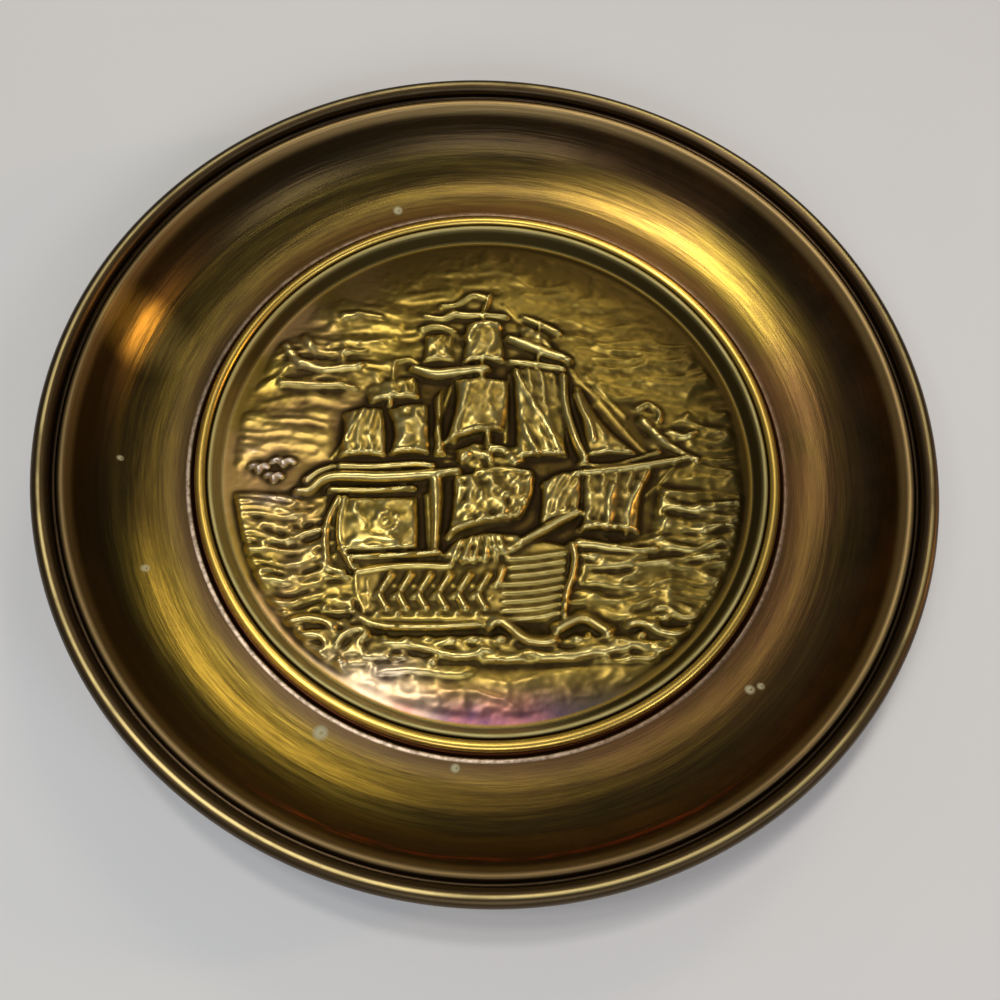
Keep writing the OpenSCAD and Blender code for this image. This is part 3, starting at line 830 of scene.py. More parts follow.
def press_hull(picture):
    """The hull with its rails, guns, planks, stem and stern gallery."""
    p = picture
    p.slab([(-32, -24.6), (-31.6, -33), (-29.6, -38), (-25, -40.4), (0, -40.8), (12, -40.6), (15.2, -39),
            (17.4, -31), (18.8, -21.6), (12, -20.2), (4, -20.6), (-4, -24), (-12, -25), (-22, -25)],
           0.8, 1.0)
    p.bar([(-32.6, -24.6), (-22, -24.2), (-12.4, -23.6)], 0.95, 1.75)
    p.bar([(-31, -28.2), (-25, -27.2), (-18, -26.6), (-10, -27)], 0.8, 1.55, 0.7)
    p.bar([(-31.4, -26.4), (-31, -33), (-29, -37.6)], 0.8, 1.2, 0.6)
    p.bar([(-28.6, -30), (-28.2, -36.6)], 0.6, 1.1)
    p.bar([(-30, -33.4), (-26.4, -33.2)], 0.5, 1.1)
    for index in range(6):
        x = -24 + 4.45 * index
        p.bar([(x + 0.7, -29), (x - 0.2, -30.6), (x - 1.3, -32.2)], 1.15, 2.0, 0.8)
        p.bar([(x - 1.9, -33.6), (x - 1.2, -35.2), (x - 0.2, -36.8)], 1.1, 1.9, 0.8)
        p.knob(x - 2.9, -34.2, 0.8, 1.5, 1.3)
        p.knob(x - 2.2, -38, 1.3, 1.7, 0.6)
        p.knob(x + 1.5, -31.6, 0.7, 1.3)
        p.knob(x + 1.1, -34.4, 0.7, 1.3)
    p.bar([(-30, -38.8), (-20, -39.2), (-6, -39.2), (1, -38.8)], 0.7, 1.25)
    p.bar([(2.2, -27.4), (1.6, -29.8), (0.6, -31.4)], 1.1, 1.9, 0.8)
    for index in range(8):
        y = -24.2 - 2.05 * index
        start = 4 if index < 3 else 2
        p.bar([(start, y - 1), (9, y - 0.6), (16.8 - 0.25 * index, y + 0.5)], 0.82, 1.45)
    p.bar([(18.6, -22.2), (19, -25), (18.2, -29.4), (16.7, -33.6), (15.8, -38.8)], 1.35, 2.1, 0.8)
    p.knob(18.4, -21.8, 1.3, 2.0)
    p.bar([(20.9, -23), (21, -27), (20.2, -31)], 0.6, 1.1)
    p.slab([(-12.6, -25), (-9, -20.4), (-2, -18), (6.4, -18.8), (8, -22.4), (4, -24.6), (-6, -27)],
           1.2, 1.0, 0.9, 4)
    for x, lean in ((-9.6, 2.6), (-7, 2.2), (-4.4, 1.4), (-1.8, 0.4), (0.8, -0.8), (3.4, -1.8)):
        p.bar([(x, -25.4 + 0.1 * x), (x + lean * 0.6, -22.4), (x + lean, -19.8)], 0.7, 0.55, 0.5, True)
    p.slab([(-37, -9), (-39.4, -15), (-40, -22), (-39, -28), (-32.6, -28), (-34, -22), (-33.6, -10)],
           0.75, 0.9)
    p.bar([(-35.9, -10), (-38, -15), (-38.6, -20), (-38, -25.4)], 1.05, 1.7)
    p.bar([(-34.4, -10), (-35.5, -16), (-35, -21.4), (-32.2, -27)], 0.95, 1.75, 0.9)
    for x, y in ((-36.9, -14), (-37.1, -17.6), (-36.9, -21.2), (-36.2, -24.4)):
        p.knob(x, y, 0.9, 1.2, 1.3)
    p.bar([(-39.4, -26), (-37, -27.4), (-34, -28.4)], 1.1, 1.7, 0.8)
    p.spar([(6.6, -21), (12, -18), (16.4, -15.4), (20.6, -13.6)], 1.5, 1.95)
    p.bar([(20.2, -21.2), (26, -22), (33, -23), (38, -22.6)], 1.7, 1.65, 0.7)
    p.bar([(20.6, -24.2), (28, -24.8), (36, -24.6)], 0.8, 1.3, 0.5)
    p.bar([(21, -26.8), (28, -27), (36, -26.2)], 1.0, 1.25, 0.7)


def press_sails(picture):
    """The sails of the three masts and of the bowsprit."""
    p = picture
    p.sail([(-36.4, -9.6), (-17.6, -9.4), (-17.2, -22.8), (-36, -23.6)], 0.75, 1.2, 3, 0.22,
           (-0.6, 0.4, 0.2, -0.6), 0.2, 0.45, 1.0, 0.35, 6)
    rose, petals = (-24.4, -16.4), 8
    for index in range(petals):
        angle = 2 * math.pi * index / petals
        p.knob(rose[0] + 2.5 * math.cos(angle), rose[1] + 2.5 * math.sin(angle), 1.0, 0.34, 1.0, True)
    p.knob(*rose, 1.1, 0.34, 1.0, True)
    p.bar([(-32.6, -10.6), (-31.6, -14), (-29.6, -17.4)], 1.2, 0.5, 0.7, True)
    p.bar([(-32.4, -21.4), (-28, -20.2), (-22, -21.2)], 1.1, 0.4, 0.7, True)
    p.sail([(-9.6, -4), (10.6, -3.6), (6.6, -15.4), (-11, -20.2)], 0.85, 1.0, 4, 0.3,
           (0.8, 1.2, 1.2, 1.2), 1.2, 0.5, 1.0, 0.9, 9)
    p.bar([(-10.2, -19.6), (-6.4, -17.8), (-2, -16.6), (4, -15.4)], 1.3, 0.75, 0.9, True)
    p.sail([(-9.2, 22.4), (4.6, 22.2), (3.2, 7.2), (-12.4, 3)], 0.75, 1.15, 3, 0.3,
           (1.8, 0.6, 0.6, 1.6), -0.4, 0.55, 1.0, 0.25, 12)
    p.bar([(-6, 20.6), (-7.2, 14), (-8.8, 8), (-9, 5.4)], 1.5, 0.6, 1.2, True)
    p.bar([(-9, 4.6), (-5, 6.8), (1, 8.2)], 1.0, 0.5, 0.9, True)
    p.sail([(-6.2, 38.2), (3.2, 39.4), (4.2, 26.4), (-7.4, 26)], 0.6, 0.9, 3, 0.32,
           (0.5, 0.3, 0.6, 0.8), 0.3, 0.4, 0.9, 0.2, 15)
    p.bar([(-5.6, 34), (-3.6, 37), (0, 38.2), (3, 37.4)], 1.4, 0.6, 1.0, True)
    p.sail([(-36, 12.6), (-26.4, 14.2), (-25, 0.4), (-37, 0.2)], 0.6, 0.75, 4, 0.5,
           (0.6, 0.6, 0.8, 0.6), 0.4, 0.35, 0.9, 0.2, 18)
    p.sail([(-25.4, 13.6), (-15.4, 15.4), (-14.6, 1.2), (-25, 0.8)], 0.7, 0.95, 2, 0.3,
           (1.6, 0.4, 0.8, 0.4), -0.5, 0.5, 0.9, 0.5, 21)
    p.sail([(-13.6, 17), (-11.4, 20), (-10.8, 1), (-14, 1)], 0.8, 0.5, 1, 0.3,
           (0.2, -0.6, 0, 0), 0.2, 0.3, 0.9, 0.2, 24)
    p.sail([(-31, 19.6), (-18.4, 23), (-17, 16.4), (-29.6, 14.8)], 0.5, 0.6, 4, 0.3,
           (0, 0, 0.8, 0.6), 0.5, 0.35, 0.9, 0.6, 27)
    p.sail([(5.2, 25.8), (17.4, 24.2), (18.8, 0.8), (5.8, 0)], 0.65, 0.85, 4, 0.5,
           (0.4, 0.4, 0.6, 0.4), -1.6, 0.35, 0.9, 0.3, 30)
    p.bar([(6.6, 24), (9, 17.6), (12.6, 11), (15.4, 5), (16.4, 1.4)], 1.1, 0.55, 0.7, True)
    p.bar([(7.6, 9), (9.6, 4.4), (11.6, 1)], 1.1, 0.5, 0.7, True)
    p.bar([(18.4, 22.8), (18.4, 16), (19.4, 10), (20.8, 5), (22.6, 0.6)], 1.5, 1.95, 1.4)
    p.sail([(20.6, 21), (22.6, 20.6), (36.4, 1.6), (23, 0.8)], 0.4, 0.7, 2, 0.35,
           (0.4, -2.2, 0, 0.4), 0.2, 0.45, 0.8, 0.2, 33)
    p.bar([(20.9, 18), (22.4, 13.4), (24.4, 9.4), (25, 5.4)], 1.0, 0.8, 0.7, True)
    p.sail([(11.8, -5.6), (21.8, -2.6), (20.8, -14), (10.8, -17)], 0.75, 0.85, 4, 0.45,
           (0.2, 0.4, 1.2, 0.6), 1.6, 0.4, 0.9, 0.3, 36)
    p.sail([(21.4, -4), (40, -1.6), (34.8, -19.4), (20.4, -18.6)], 0.6, 0.8, 5, 0.5,
           (0.2, -1.6, 0.8, 0.8), 0.9, 0.4, 0.9, 0.3, 39)
    p.bar([(35.4, -6.4), (33, -12), (31.4, -18.8)], 1.2, 0.75, 0.9, True)
    p.bar([(28.6, -7), (27.4, -13), (26.8, -18)], 1.0, 0.6, 0.9, True)
    p.bar([(20.6, -17.8), (24, -16.6), (27.4, -17.8), (30.4, -17.4)], 1.0, 0.6, 0.8, True)
    p.knob(12.9, -6.6, 1.4, 0.9)


def press_rigging(picture):
    """Masts, yards, tops, pennants and stays."""
    p = picture
    p.bar([(-13.4, -4.6), (-13.1, -14), (-13.4, -23.6)], 2.1, 1.6, 0.95)
    p.bar([(-15.4, -9), (-15, -16), (-14.8, -22.6)], 0.5, 0.9)
    p.bar([(-0.4, 0), (-0.6, 4), (-0.8, 8)], 1.1, 1.3)
    p.bar([(-2, 21.6), (-1.8, 26.6)], 1.2, 1.3, 1.0)
    p.bar([(-1.4, 39), (-0.8, 43), (0.8, 47.2)], 1.0, 1.25, 0.6)
    p.bar([(11.8, 25), (12.6, 31), (13, 39)], 0.9, 1.15, 0.5)
    p.bar([(-24.6, 15), (-24, 22), (-23.4, 27.6)], 0.8, 1.0, 0.5)
    p.spar([(-45.6, -8.4), (-42.6, -8), (-40, -5.6), (-36, -4.4), (-25, -4.6), (-15, -3.9), (-8, -3)],
           1.75, 2.0)
    p.bar([(-43.6, -5.4), (-41, -3.2), (-37.6, -1.8)], 1.2, 1.4, 0.9)
    p.bar([(-36, -1.8), (-28, -1.9), (-18, -1.2), (-14, -1.6)], 1.2, 1.65, 1.0)
    p.bar([(-38, -7.8), (-28, -7.9), (-18.6, -7.2)], 1.0, 1.45, 0.8)
    p.spar([(-18.8, 24.8), (-13.6, 23.4), (-8, 24), (-0.6, 25)], 1.75, 1.95)
    p.spar([(-8.8, 41), (-3, 40.6), (4.6, 40.4)], 1.2, 1.4)
    p.spar([(5, 33.8), (10, 31.8), (15, 29.5), (20, 27.6)], 1.75, 1.8)
    p.spar([(8.8, 40.4), (13, 38.4), (18, 35.8)], 1.2, 1.2)
    p.spar([(5, 27.2), (11, 26.4), (18.6, 25.2)], 1.2, 1.5)
    p.sail([(7.4, 38.4), (15.6, 35.6), (16.8, 30), (7.6, 32.8)], 0.45, 0.6, 3, 0.3,
           (0, 0, 0.3, 0.4), 0.3, 0.3, 0.8, 0.2, 42)
    p.sail([(-16.6, 34.6), (-8.4, 35), (-8.4, 27), (-16.8, 26.6)], 0.4, 0.6, 3, 0.35,
           (0.5, -0.5, 0.6, 0.4), 0.3, 0.3, 0.8, 0.6, 45)
    p.bar([(-0.4, 46), (-4, 46.8), (-8, 44), (-12, 43.6)], 1.3, 1.1, 0.6)
    p.bar([(-8.6, 41.2), (-12, 39.6), (-16.4, 40.4)], 1.4, 1.2, 0.8)
    p.bar([(-17, 36.4), (-13, 37.4), (-8.8, 36.2)], 1.1, 1.2, 0.8)
    p.bar([(-23.4, 27), (-20, 27.8), (-17.6, 26.4)], 1.0, 0.9, 0.5)
    p.slab([(-9, 2.6), (-4, 5), (1, 4.4), (7, 4), (8.6, -0.4), (5, -2.8), (-2, -3.4), (-7.6, -1.6)],
           0.85, 1.0, 1.1, 48)
    p.bar([(-7.4, 0), (-4, 1.8), (-0.6, 0.4)], 1.3, 0.7, 1.0, True)
    p.bar([(0.4, 3.2), (3.4, 2.4), (6, -0.6)], 1.2, 0.7, 0.9, True)
    p.bar([(-3.6, -3.4), (2.4, -2.4), (9.4, -3.2)], 1.0, 1.5, 0.7)
    p.spar([(20, -3.4), (30, -2.4), (40, -0.8), (48, 0.8)], 1.25, 1.65)
    p.bar([(21.4, -0.9), (28, -1.2), (34, 0.2), (41, 2.6)], 0.75, 1.1, 0.5)
    for start, end in (((26.8, 17.4), (38, 2.2)), ((24, 24), (33.8, 12)), ((18.8, 27.6), (26.4, 17.8)),
                       ((3.8, 44), (18.6, 28.6)), ((-9, 22), (-14.6, 4)), ((-30.6, 14), (-38, 0.6)),
                       ((5, 24), (3.6, 5)), ((37, -9), (45.6, 0)), ((21.4, -14), (29, -22))):
        p.rope([start, ((start[0] + end[0]) / 2, (start[1] + end[1]) / 2 - 0.5), end])
    for index in range(5):
        p.rope([(-11.8 + index * 0.4, 3 - index * 1.5), (-7.4 + index * 0.3, 2.4 - index * 1.4)], 0.3, 0.35)


def pressed_picture(medal, unit):
    """The whole picture, softened and worn as a thin pressing is."""
    picture = Picture(medal.field_radius, unit)
    press_sky(picture)
    press_sea(picture)
    press_hull(picture)
    press_sails(picture)
    press_rigging(picture)
    picture.soften(SOFTNESS)
    x, y = np.meshgrid(picture.axis, picture.axis)
    uneven = 0.12 * (lattice_noise(x / 3.1, y / 2.3, 2) - 0.5) + 0.07 * (lattice_noise(x / 1.2, y, 4) - 0.5)
    inset, fade = BORDER
    border = smooth((medal.field_radius - inset - np.hypot(x, y) * unit) / fade)
    picture.heights = np.clip(picture.heights + uneven, 0, medal.relief) * border
    return picture


def zipped(inner, outer, angles_in, angles_out):
    """Triangles between two closed loops of points, both sorted by angle."""
    faces, i, j = [], 0, 0
    n, m = len(inner), len(outer)
    while i < n or j < m:
        a = angles_in[i % n] + 2 * math.pi * (i // n) if i < n else math.inf
        b = angles_out[j % m] + 2 * math.pi * (j // m) if j < m else math.inf
        if a <= b:
            faces.append((inner[i % n], outer[j % m], inner[(i + 1) % n]))
            i += 1
        else:
            faces.append((inner[i % n], outer[j % m], outer[(j + 1) % m]))
            j += 1
    return faces


def square_net(reach, cell):
    """A square net inside a circle: x and y of its points, its faces, and its edge by angle."""
    count = int(reach / cell)
    line = cell * np.arange(-count, count + 1)
    x, y = np.meshgrid(line, line)
    inside = np.hypot(x, y) < reach
    full = inside[:-1, :-1] & inside[1:, :-1] & inside[:-1, 1:] & inside[1:, 1:]
    cells = np.pad(full, 1).astype(int)
    faces_around = cells[:-1, :-1] + cells[1:, :-1] + cells[:-1, 1:] + cells[1:, 1:]
    used = faces_around > 0
    number = np.full(inside.shape, -1)
    number[used] = np.arange(used.sum())
    faces = np.column_stack([number[:-1, :-1][full], number[:-1, 1:][full],
                             number[1:, 1:][full], number[1:, :-1][full]])
    x, y = x[used], y[used]
    edge = number[used & (faces_around < 4)]
    angle = np.arctan2(y[edge], x[edge])
    order = np.argsort(angle)
    return x, y, faces.tolist(), edge[order].tolist(), angle[order].tolist()


def medallion_mesh(medal, lay):
    """The picture on a square net of points, joined to the revolved rib, lip and back."""
    picture = pressed_picture(medal, DISH_HIGH.x / 100)
    x, y, faces, edge, edge_angle = square_net(lay.field_c.x - NET_MARGIN, medal.cell)
    heights = picture.sample(picture.heights, x, y)
    around = blurred(picture.heights, HOLLOW_REACH / picture.pitch)
    hollow = picture.sample(around, x, y) - heights
    net = np.column_stack([x, y, medal.field_height + heights])

    steps = medal.segments
    turn = -math.pi + 2 * math.pi * np.arange(steps) / steps
    rings = [np.column_stack([p.x * np.cos(turn), p.x * np.sin(turn), np.full(steps, p.y)])
             for p in outline(lay.medal_bends, medal.sheet, None, lay.lip_end)]
    loops = [len(net) + steps * k + np.arange(steps) for k in range(len(rings))]
    faces += zipped(edge, loops[0].tolist(), edge_angle, turn.tolist())
    for a, b in zip(loops[:-1], loops[1:]):
        faces += np.column_stack([a, b, np.roll(b, -1), np.roll(a, -1)]).tolist()
    faces.append(loops[-1].tolist())
    mesh = bpy.data.meshes.new("medallion")
    mesh.from_pydata((np.vstack([net] + rings) * MM).tolist(), [], faces)
    plain = np.zeros(steps * len(rings))
    for label, values in (("raised", heights / medal.relief), ("hollow", hollow)):
        layer = mesh.attributes.new(label, "FLOAT", "POINT")
        layer.data.foreach_set("value", np.concatenate([values, plain]).astype(np.float32))
    face_outward(mesh)
    shade(mesh, "pressed")
    return mesh


# ---------------------------------------------------------------- material kit

class Finish(Bench):
    """One material, with the patterns that the finishes share.

    Radii, places and the numbers that they are compared with are in millimetres. Bumps, and
    noise that reads the place itself, are in metres.
    """

    def __init__(self, name):
        self.material = bpy.data.materials.new(name)
        self.material.use_nodes = True
        super().__init__(self.material.node_tree)
        self.shader = self.tree.nodes["Principled BSDF"]
        self.place = self.add("ShaderNodeTexCoord", out="Object")

    def millimetres(self):
        """The place on the piece."""
        return [axis / MM for axis in self.axes(self.place)]

    def upward(self):
        """One on faces that look up, nought on those that look sideways or down."""
        return self.axes(self.add("ShaderNodeTexCoord", out="Normal"))[2].ramp(0.0, 0.1)

    def mix(self, share, first, second):
        """A colour: first where share is nought, second where it is one."""
        return self.add("ShaderNodeMix", {"data_type": "RGBA"}, {0: share, 6: first, 7: second}, out=2)

    def noise(self, vector, scale, detail=3.0, roughness=0.5):
        """Smooth noise, mostly between 0.3 and 0.7."""
        return self.add("ShaderNodeTexNoise", None,
                        {"Vector": vector, "Scale": scale, "Detail": detail, "Roughness": roughness})

    def attribute(self, name):
        """A value that the mesh carries at its points."""
        return self.add("ShaderNodeAttribute", {"attribute_name": name}, out="Fac")

    def turned(self, around, outward):
        """The radius, and a vector that changes slowly around the axis and fast outwards."""
        x, y, z = self.millimetres()
        radius = (x * x + y * y) ** 0.5
        safe = radius.most(0.5)
        return radius, self.vector(x / safe * around, y / safe * around, (radius + z) * outward)

    def spot(self, x, y, inner, soft):
        """One within inner of a place, falling to nought over soft."""
        px, py, _ = self.millimetres()
        dx, dy = px - x, py - y
        return ((dx * dx + dy * dy) ** 0.5).ramp(inner, inner + soft, 1.0, 0.0)

    def relief(self, height, strength, distance, normal=None):
        """A fine bump, in metres, laid over another one if that is given."""
        sockets = {"Height": height, "Strength": strength, "Distance": distance}
        if normal is not None:
            sockets["Normal"] = normal
        return self.add("ShaderNodeBump", None, sockets)

    def done(self, **sockets):
        """Feeds the shader and returns the material."""
        for key, value in sockets.items():
            self.feed(self.shader.inputs[key.replace("_", " ")], value)
        return self.material


# ---------------------------------------------------------------- finishes

UMBER = (0.085, 0.048, 0.022)
CHESTNUT = (0.20, 0.095, 0.026)
RUSSET = (0.30, 0.13, 0.055)
AMBER_REFLECTION = (0.62, 0.42, 0.10)
RED_GLINT = (0.60, 0.11, 0.04)
RIDGE_SHEEN_TAN = (0.48, 0.33, 0.14)
GROOVE_SHADE = (0.04, 0.025, 0.012)
CHANNEL_SHADE_RED = (0.16, 0.055, 0.022)
ROLL_BROWN = (0.13, 0.085, 0.034)
ROLL_BLACK = (0.045, 0.028, 0.016)
RIM_GOLD = (0.62, 0.50, 0.22)
VERDIGRIS = (0.58, 0.55, 0.34)
# x, y and size of the dried spots of polish on the cavetto
RESIDUE = [(-17.9, 54.3, 1.0), (-64.8, -2.0, 0.6), (-58.7, -21.7, 0.8), (-28.4, -49.1, 1.3),
           (-6.7, -54.9, 0.8), (42.4, -42.9, 0.9), (44.2, -42.4, 0.7)]

DEEP_BRASS = (0.24, 0.16, 0.045)
GROUND_BROWN = (0.15, 0.092, 0.016)
SAIL_GAP_SHADE = (0.045, 0.027, 0.008)
RIGHT_SHADE = (0.10, 0.068, 0.018)
EDGE_SHADE = (0.045, 0.028, 0.009)
BLUSH_HIGHLIGHT = (0.95, 0.58, 0.34)
FILM_PINK = (0.46, 0.17, 0.19)
FILM_PURPLE = (0.13, 0.055, 0.13)
FILM_BLUE_SHADE = (0.035, 0.045, 0.065)
PALE_HIGHLIGHT = (0.86, 0.66, 0.46)
RIB_SHADE = (0.12, 0.09, 0.03)
RIB_DULL = (0.40, 0.34, 0.13)
RIB_BRIGHT = (0.56, 0.48, 0.22)
SEAM_SHADE = (0.03, 0.02, 0.012)


def residue(b, blotch):
    """Dried rings of polish, on the faces that look up."""
    marks = None
    for x, y, size in RESIDUE:
        centre = b.spot(x + 0.2, y, size * 0.05, size * 0.32)
        mark = b.spot(x, y, size * 0.35, size * 0.8) - centre * 0.8
        marks = mark if marks is None else marks.most(mark)
    return marks * blotch.ramp(0.2, 0.45, 0.55, 1.0) * b.upward()


def lacquered_brass(finish, lay):
    """Turned brass under brown-gold lacquer, rubbed pale on its crests, with painted highlights,
    reflections and shade.
    """
    b = Finish("lacquered_brass")
    x, y, z = b.millimetres()
    radius, fine = b.turned(5.0, 5.5)
    lines = b.noise(fine, 1.0, 5.0, 0.65)
    hairs = b.noise(b.turned(6.0, 13.0)[1], 1.0, 3.0, 0.7)
    streaks = b.noise(b.turned(9.0, 1.6)[1], 1.0, 4.0, 0.6)
    clouds = b.noise(b.turned(2.2, 0.55)[1], 1.0, 4.0, 0.55)
    blotch = b.noise(b.place, 55.0, 4.0, 0.6)

    # the cavetto: gold where the lacquer is thin, with a painted gold highlight, darker by the crest, and
    # painted shade under the rim
    painted_glow_ring = radius.band(lay.crest + 8, 2.5, 4.5)
    # painted highlight: a gold ring in the cavetto, shown only in the upper right and lower left quarters
    thin = (x * y).ramp(500, 1800) * streaks.ramp(0.25, 0.6, 0.45, 1.0)
    wear_and_painted_glow = clouds.ramp(0.35, 0.68) * 0.16 + painted_glow_ring * thin * 0.6 + streaks.ramp(0.4, 0.7) * 0.10
    tone = b.mix(wear_and_painted_glow.least(1.0), finish.lacquer, finish.gold)
    by_crest = b.mix(y.ramp(20, 50), UMBER, CHESTNUT)
    tone = b.mix(radius.ramp(lay.crest, lay.crest + 5, 0.85, 0.0), tone, by_crest)
    # painted shade: the upper cavetto darkens towards the ridge, under the rim
    tone = b.mix(radius.ramp(lay.crest + 10, lay.band_start - 1.5, 0.0, 0.9), tone, finish.shadow)
    tone = b.mix(x.ramp(-20, 60) * blotch.ramp(0.3, 0.65) * 0.45, tone, RUSSET)
    tone = b.mix(lines.ramp(0.35, 0.65) * 0.25 + hairs.ramp(0.42, 0.6) * 0.3, tone, finish.shadow)
    # painted reflection: an amber streak from a warm lamp on the left of the cavetto
    tone = b.mix(b.spot(-62.5, 22.0, 2.0, 6.5) * streaks.ramp(0.3, 0.6, 0.35, 0.7), tone, AMBER_REFLECTION)
    # painted reflection: a thin red line on the near side, below the ridge
    painted_red_glint = radius.band(lay.ridge_c.x - 2.4, 0.1, 0.45) * y.ramp(-64, -56, 1.0, 0.0)
    tone = b.mix(painted_red_glint * streaks.ramp(0.45, 0.6) * 0.8, tone, RED_GLINT)

    # the ridge, groove, channel, rolled rim and crest
    ridge = radius.band(lay.ridge_c.x - 0.3, 0.6, 0.8) * z.ramp(13.0, 14.6)
    # painted sheen: the ridge band turns tan, brighter towards the upper right
    tone = b.mix(ridge * (x + y).ramp(-40, 40, 0.35, 0.9), tone, RIDGE_SHEEN_TAN)
    # painted shade in the groove between the ridge and the rolled rim
    groove = radius.band(lay.groove_c.x + 0.1, 0.35, 0.5) * z.ramp(13.8, 15.0)
    tone = b.mix(groove * 0.9, tone, GROOVE_SHADE)
    # painted shade, dark red, in the channel below the crest
    channel = radius.band(lay.crest - 1.3, 0.55, 0.35) * z.ramp(2.2, 3.0)
    tone = b.mix(channel * 0.9, tone, CHANNEL_SHADE_RED)
    roll = radius.ramp(lay.groove_c.x + 0.4, lay.groove_c.x + 0.9)
    tone = b.mix(roll * 0.9, tone, b.mix(streaks, ROLL_BROWN, ROLL_BLACK))
    rim = radius.band(lay.roll_c.x - 0.1, 0.05, 0.35) * z.ramp(17.7, 18.2)
    tone = b.mix(rim * blotch.ramp(0.3, 0.55, 0.3, 0.9), tone, RIM_GOLD)
    crest = radius.band(lay.crest, 0.14, 0.36) * z.ramp(3.6, 4.0)
    rubbed = crest * b.noise(b.place, 900.0, 3.0, 0.7).ramp(0.35, 0.6, 0.35, 1.0)
    # wear on the crest, made stronger at the near left as a painted sheen
    rubbed = rubbed * y.ramp(-30, 20, 0.7, 0.25) * x.ramp(-10, 30, 1.0, 0.35)
    tone = b.mix(rubbed * 0.9, tone, finish.worn)

    marks = residue(b, blotch)
    tone = b.mix(marks * 0.8, tone, VERDIGRIS)
    matt = radius.ramp(lay.crest + 1, lay.crest + 7, 0.14, 0.0).most(ridge * 0.2).most(roll * 0.12)
    rough = 0.20 + matt + clouds * 0.12 + lines * 0.08 + marks * 0.25
    normal = b.relief(clouds, 0.15, 0.0008, b.relief(lines, 0.22, 0.00006))
    return b.done(Base_Color=tone, Metallic=1.0 - marks * 0.75, Roughness=rough, Normal=normal,
                  Coat_Weight=0.12, Coat_Roughness=0.30)


def pressed_brass(finish, medal):
    """Antiqued pressing: dark in the hollows, rubbed bright on the relief, with painted highlights and
    shade.
    """
    b = Finish("pressed_brass")
    x, y, _ = b.millimetres()
    radius, turned = b.turned(6.0, 3.0)
    raised, hollow = b.attribute("raised"), b.attribute("hollow")
    grain = b.noise(b.place, 700.0, 4.0, 0.6)
    cloud = b.noise(b.place, 60.0, 4.0, 0.6)
    on_field = radius.ramp(medal.field_radius - 1.2, medal.field_radius - 0.6, 1.0, 0.0)
    dark = hollow.ramp(0.0, 0.24) * (0.8 + 0.2 * grain)
    bright = raised.ramp(0.16, 0.75) * hollow.ramp(-0.24, 0.05, 1.0, 0.1)

    # the ground: darkest, as painted shade, around the sails, to the right and along the upper edge
    ground = raised.ramp(0.0, 0.14, 1.0, 0.0)
    tone = b.mix(cloud.ramp(0.3, 0.7) * 0.6, finish.pressed, DEEP_BRASS)
    tone = b.mix(ground * 0.85, tone, GROUND_BROWN)
    # painted shade on the ground between the sails
    tone = b.mix(ground * b.spot(-2.0, 1.0, 17.0, 31.0) * 0.75, tone, SAIL_GAP_SHADE)
    tone = b.mix((x + y * 0.4).ramp(-15, 50) * on_field * 0.6, tone, RIGHT_SHADE)
    edge = radius.ramp(medal.field_radius - 13, medal.field_radius - 2) * (x * 0.7 + y).ramp(-15, 30)
    tone = b.mix(edge * on_field * 0.75, tone, EDGE_SHADE)

    # the rubbed relief, a painted pink highlight on the left, and the coloured film at the foot, with
    # painted shade towards its right and a painted pale highlight at its left
    tone = b.mix(bright * (0.55 + 0.45 * grain) * (1.0 - edge * 0.5), tone, finish.rubbed)
    # painted highlight: pink on the left of the picture
    left = x.ramp(-40, -16, 1.0, 0.0) * y.ramp(-36, -10, 1.0, 0.35)
    tone = b.mix(left * cloud.ramp(0.35, 0.65) * 0.4, tone, BLUSH_HIGHLIGHT)
    film = b.noise(b.place, 110.0, 3.0, 0.6)
    tint = b.mix(film.ramp(0.35, 0.6), FILM_PINK, FILM_PURPLE)
    # the film turns dark blue towards the right of the foot: partly its own colour, partly painted shade
    tint = b.mix(x.ramp(2, 18), tint, FILM_BLUE_SHADE)
    tone = b.mix(y.ramp(-47.5, -38.5, 1.0, 0.0) * on_field * 0.9, tone, tint)
    # painted highlight: a pale patch at the near left of the foot
    pale = x.ramp(-18, -6, 1.0, 0.0) * y.ramp(-40, -33, 1.0, 0.0) * on_field
    tone = b.mix(pale * film.ramp(0.3, 0.6, 0.25, 0.85), tone, PALE_HIGHLIGHT)
    tone = b.mix(dark * on_field, tone, finish.patina)
    # painted highlight: the gulls are painted pale
    gulls = b.spot(-39.4, -2.2, 3.2, 4.6) * raised.ramp(0.12, 0.35)
    tone = b.mix(gulls * 0.9, tone, finish.worn)

    # the rib: painted highlight on its crest and on the slope at the near left, painted shade on the rest,
    # and painted shade in the seam outside it
    rib = radius.ramp(medal.field_radius - 0.7, medal.field_radius - 0.1)
    rib_crest = medal.field_radius - FIELD_ROUND + medal.rib_width
    lit = (x + y).ramp(-50, -20, 1.0, 0.0).most(radius.band(rib_crest - 0.1, 0.25, 0.45))
    shine = b.mix(b.noise(turned, 1.0).ramp(0.3, 0.7), RIB_DULL, RIB_BRIGHT)
    tone = b.mix(rib, tone, b.mix(lit, RIB_SHADE, shine))
    # painted shade in the seam outside the rib
    tone = b.mix(radius.ramp(rib_crest + 0.1, rib_crest + 0.4) * 0.95, tone, SEAM_SHADE)
    rough = 0.29 + cloud * 0.10 + dark * 0.25 + grain * 0.06 - bright * 0.05 + rib * 0.20
    return b.done(Base_Color=tone, Metallic=1.0, Roughness=rough,
                  Normal=b.relief(grain, 0.25, 0.00008))


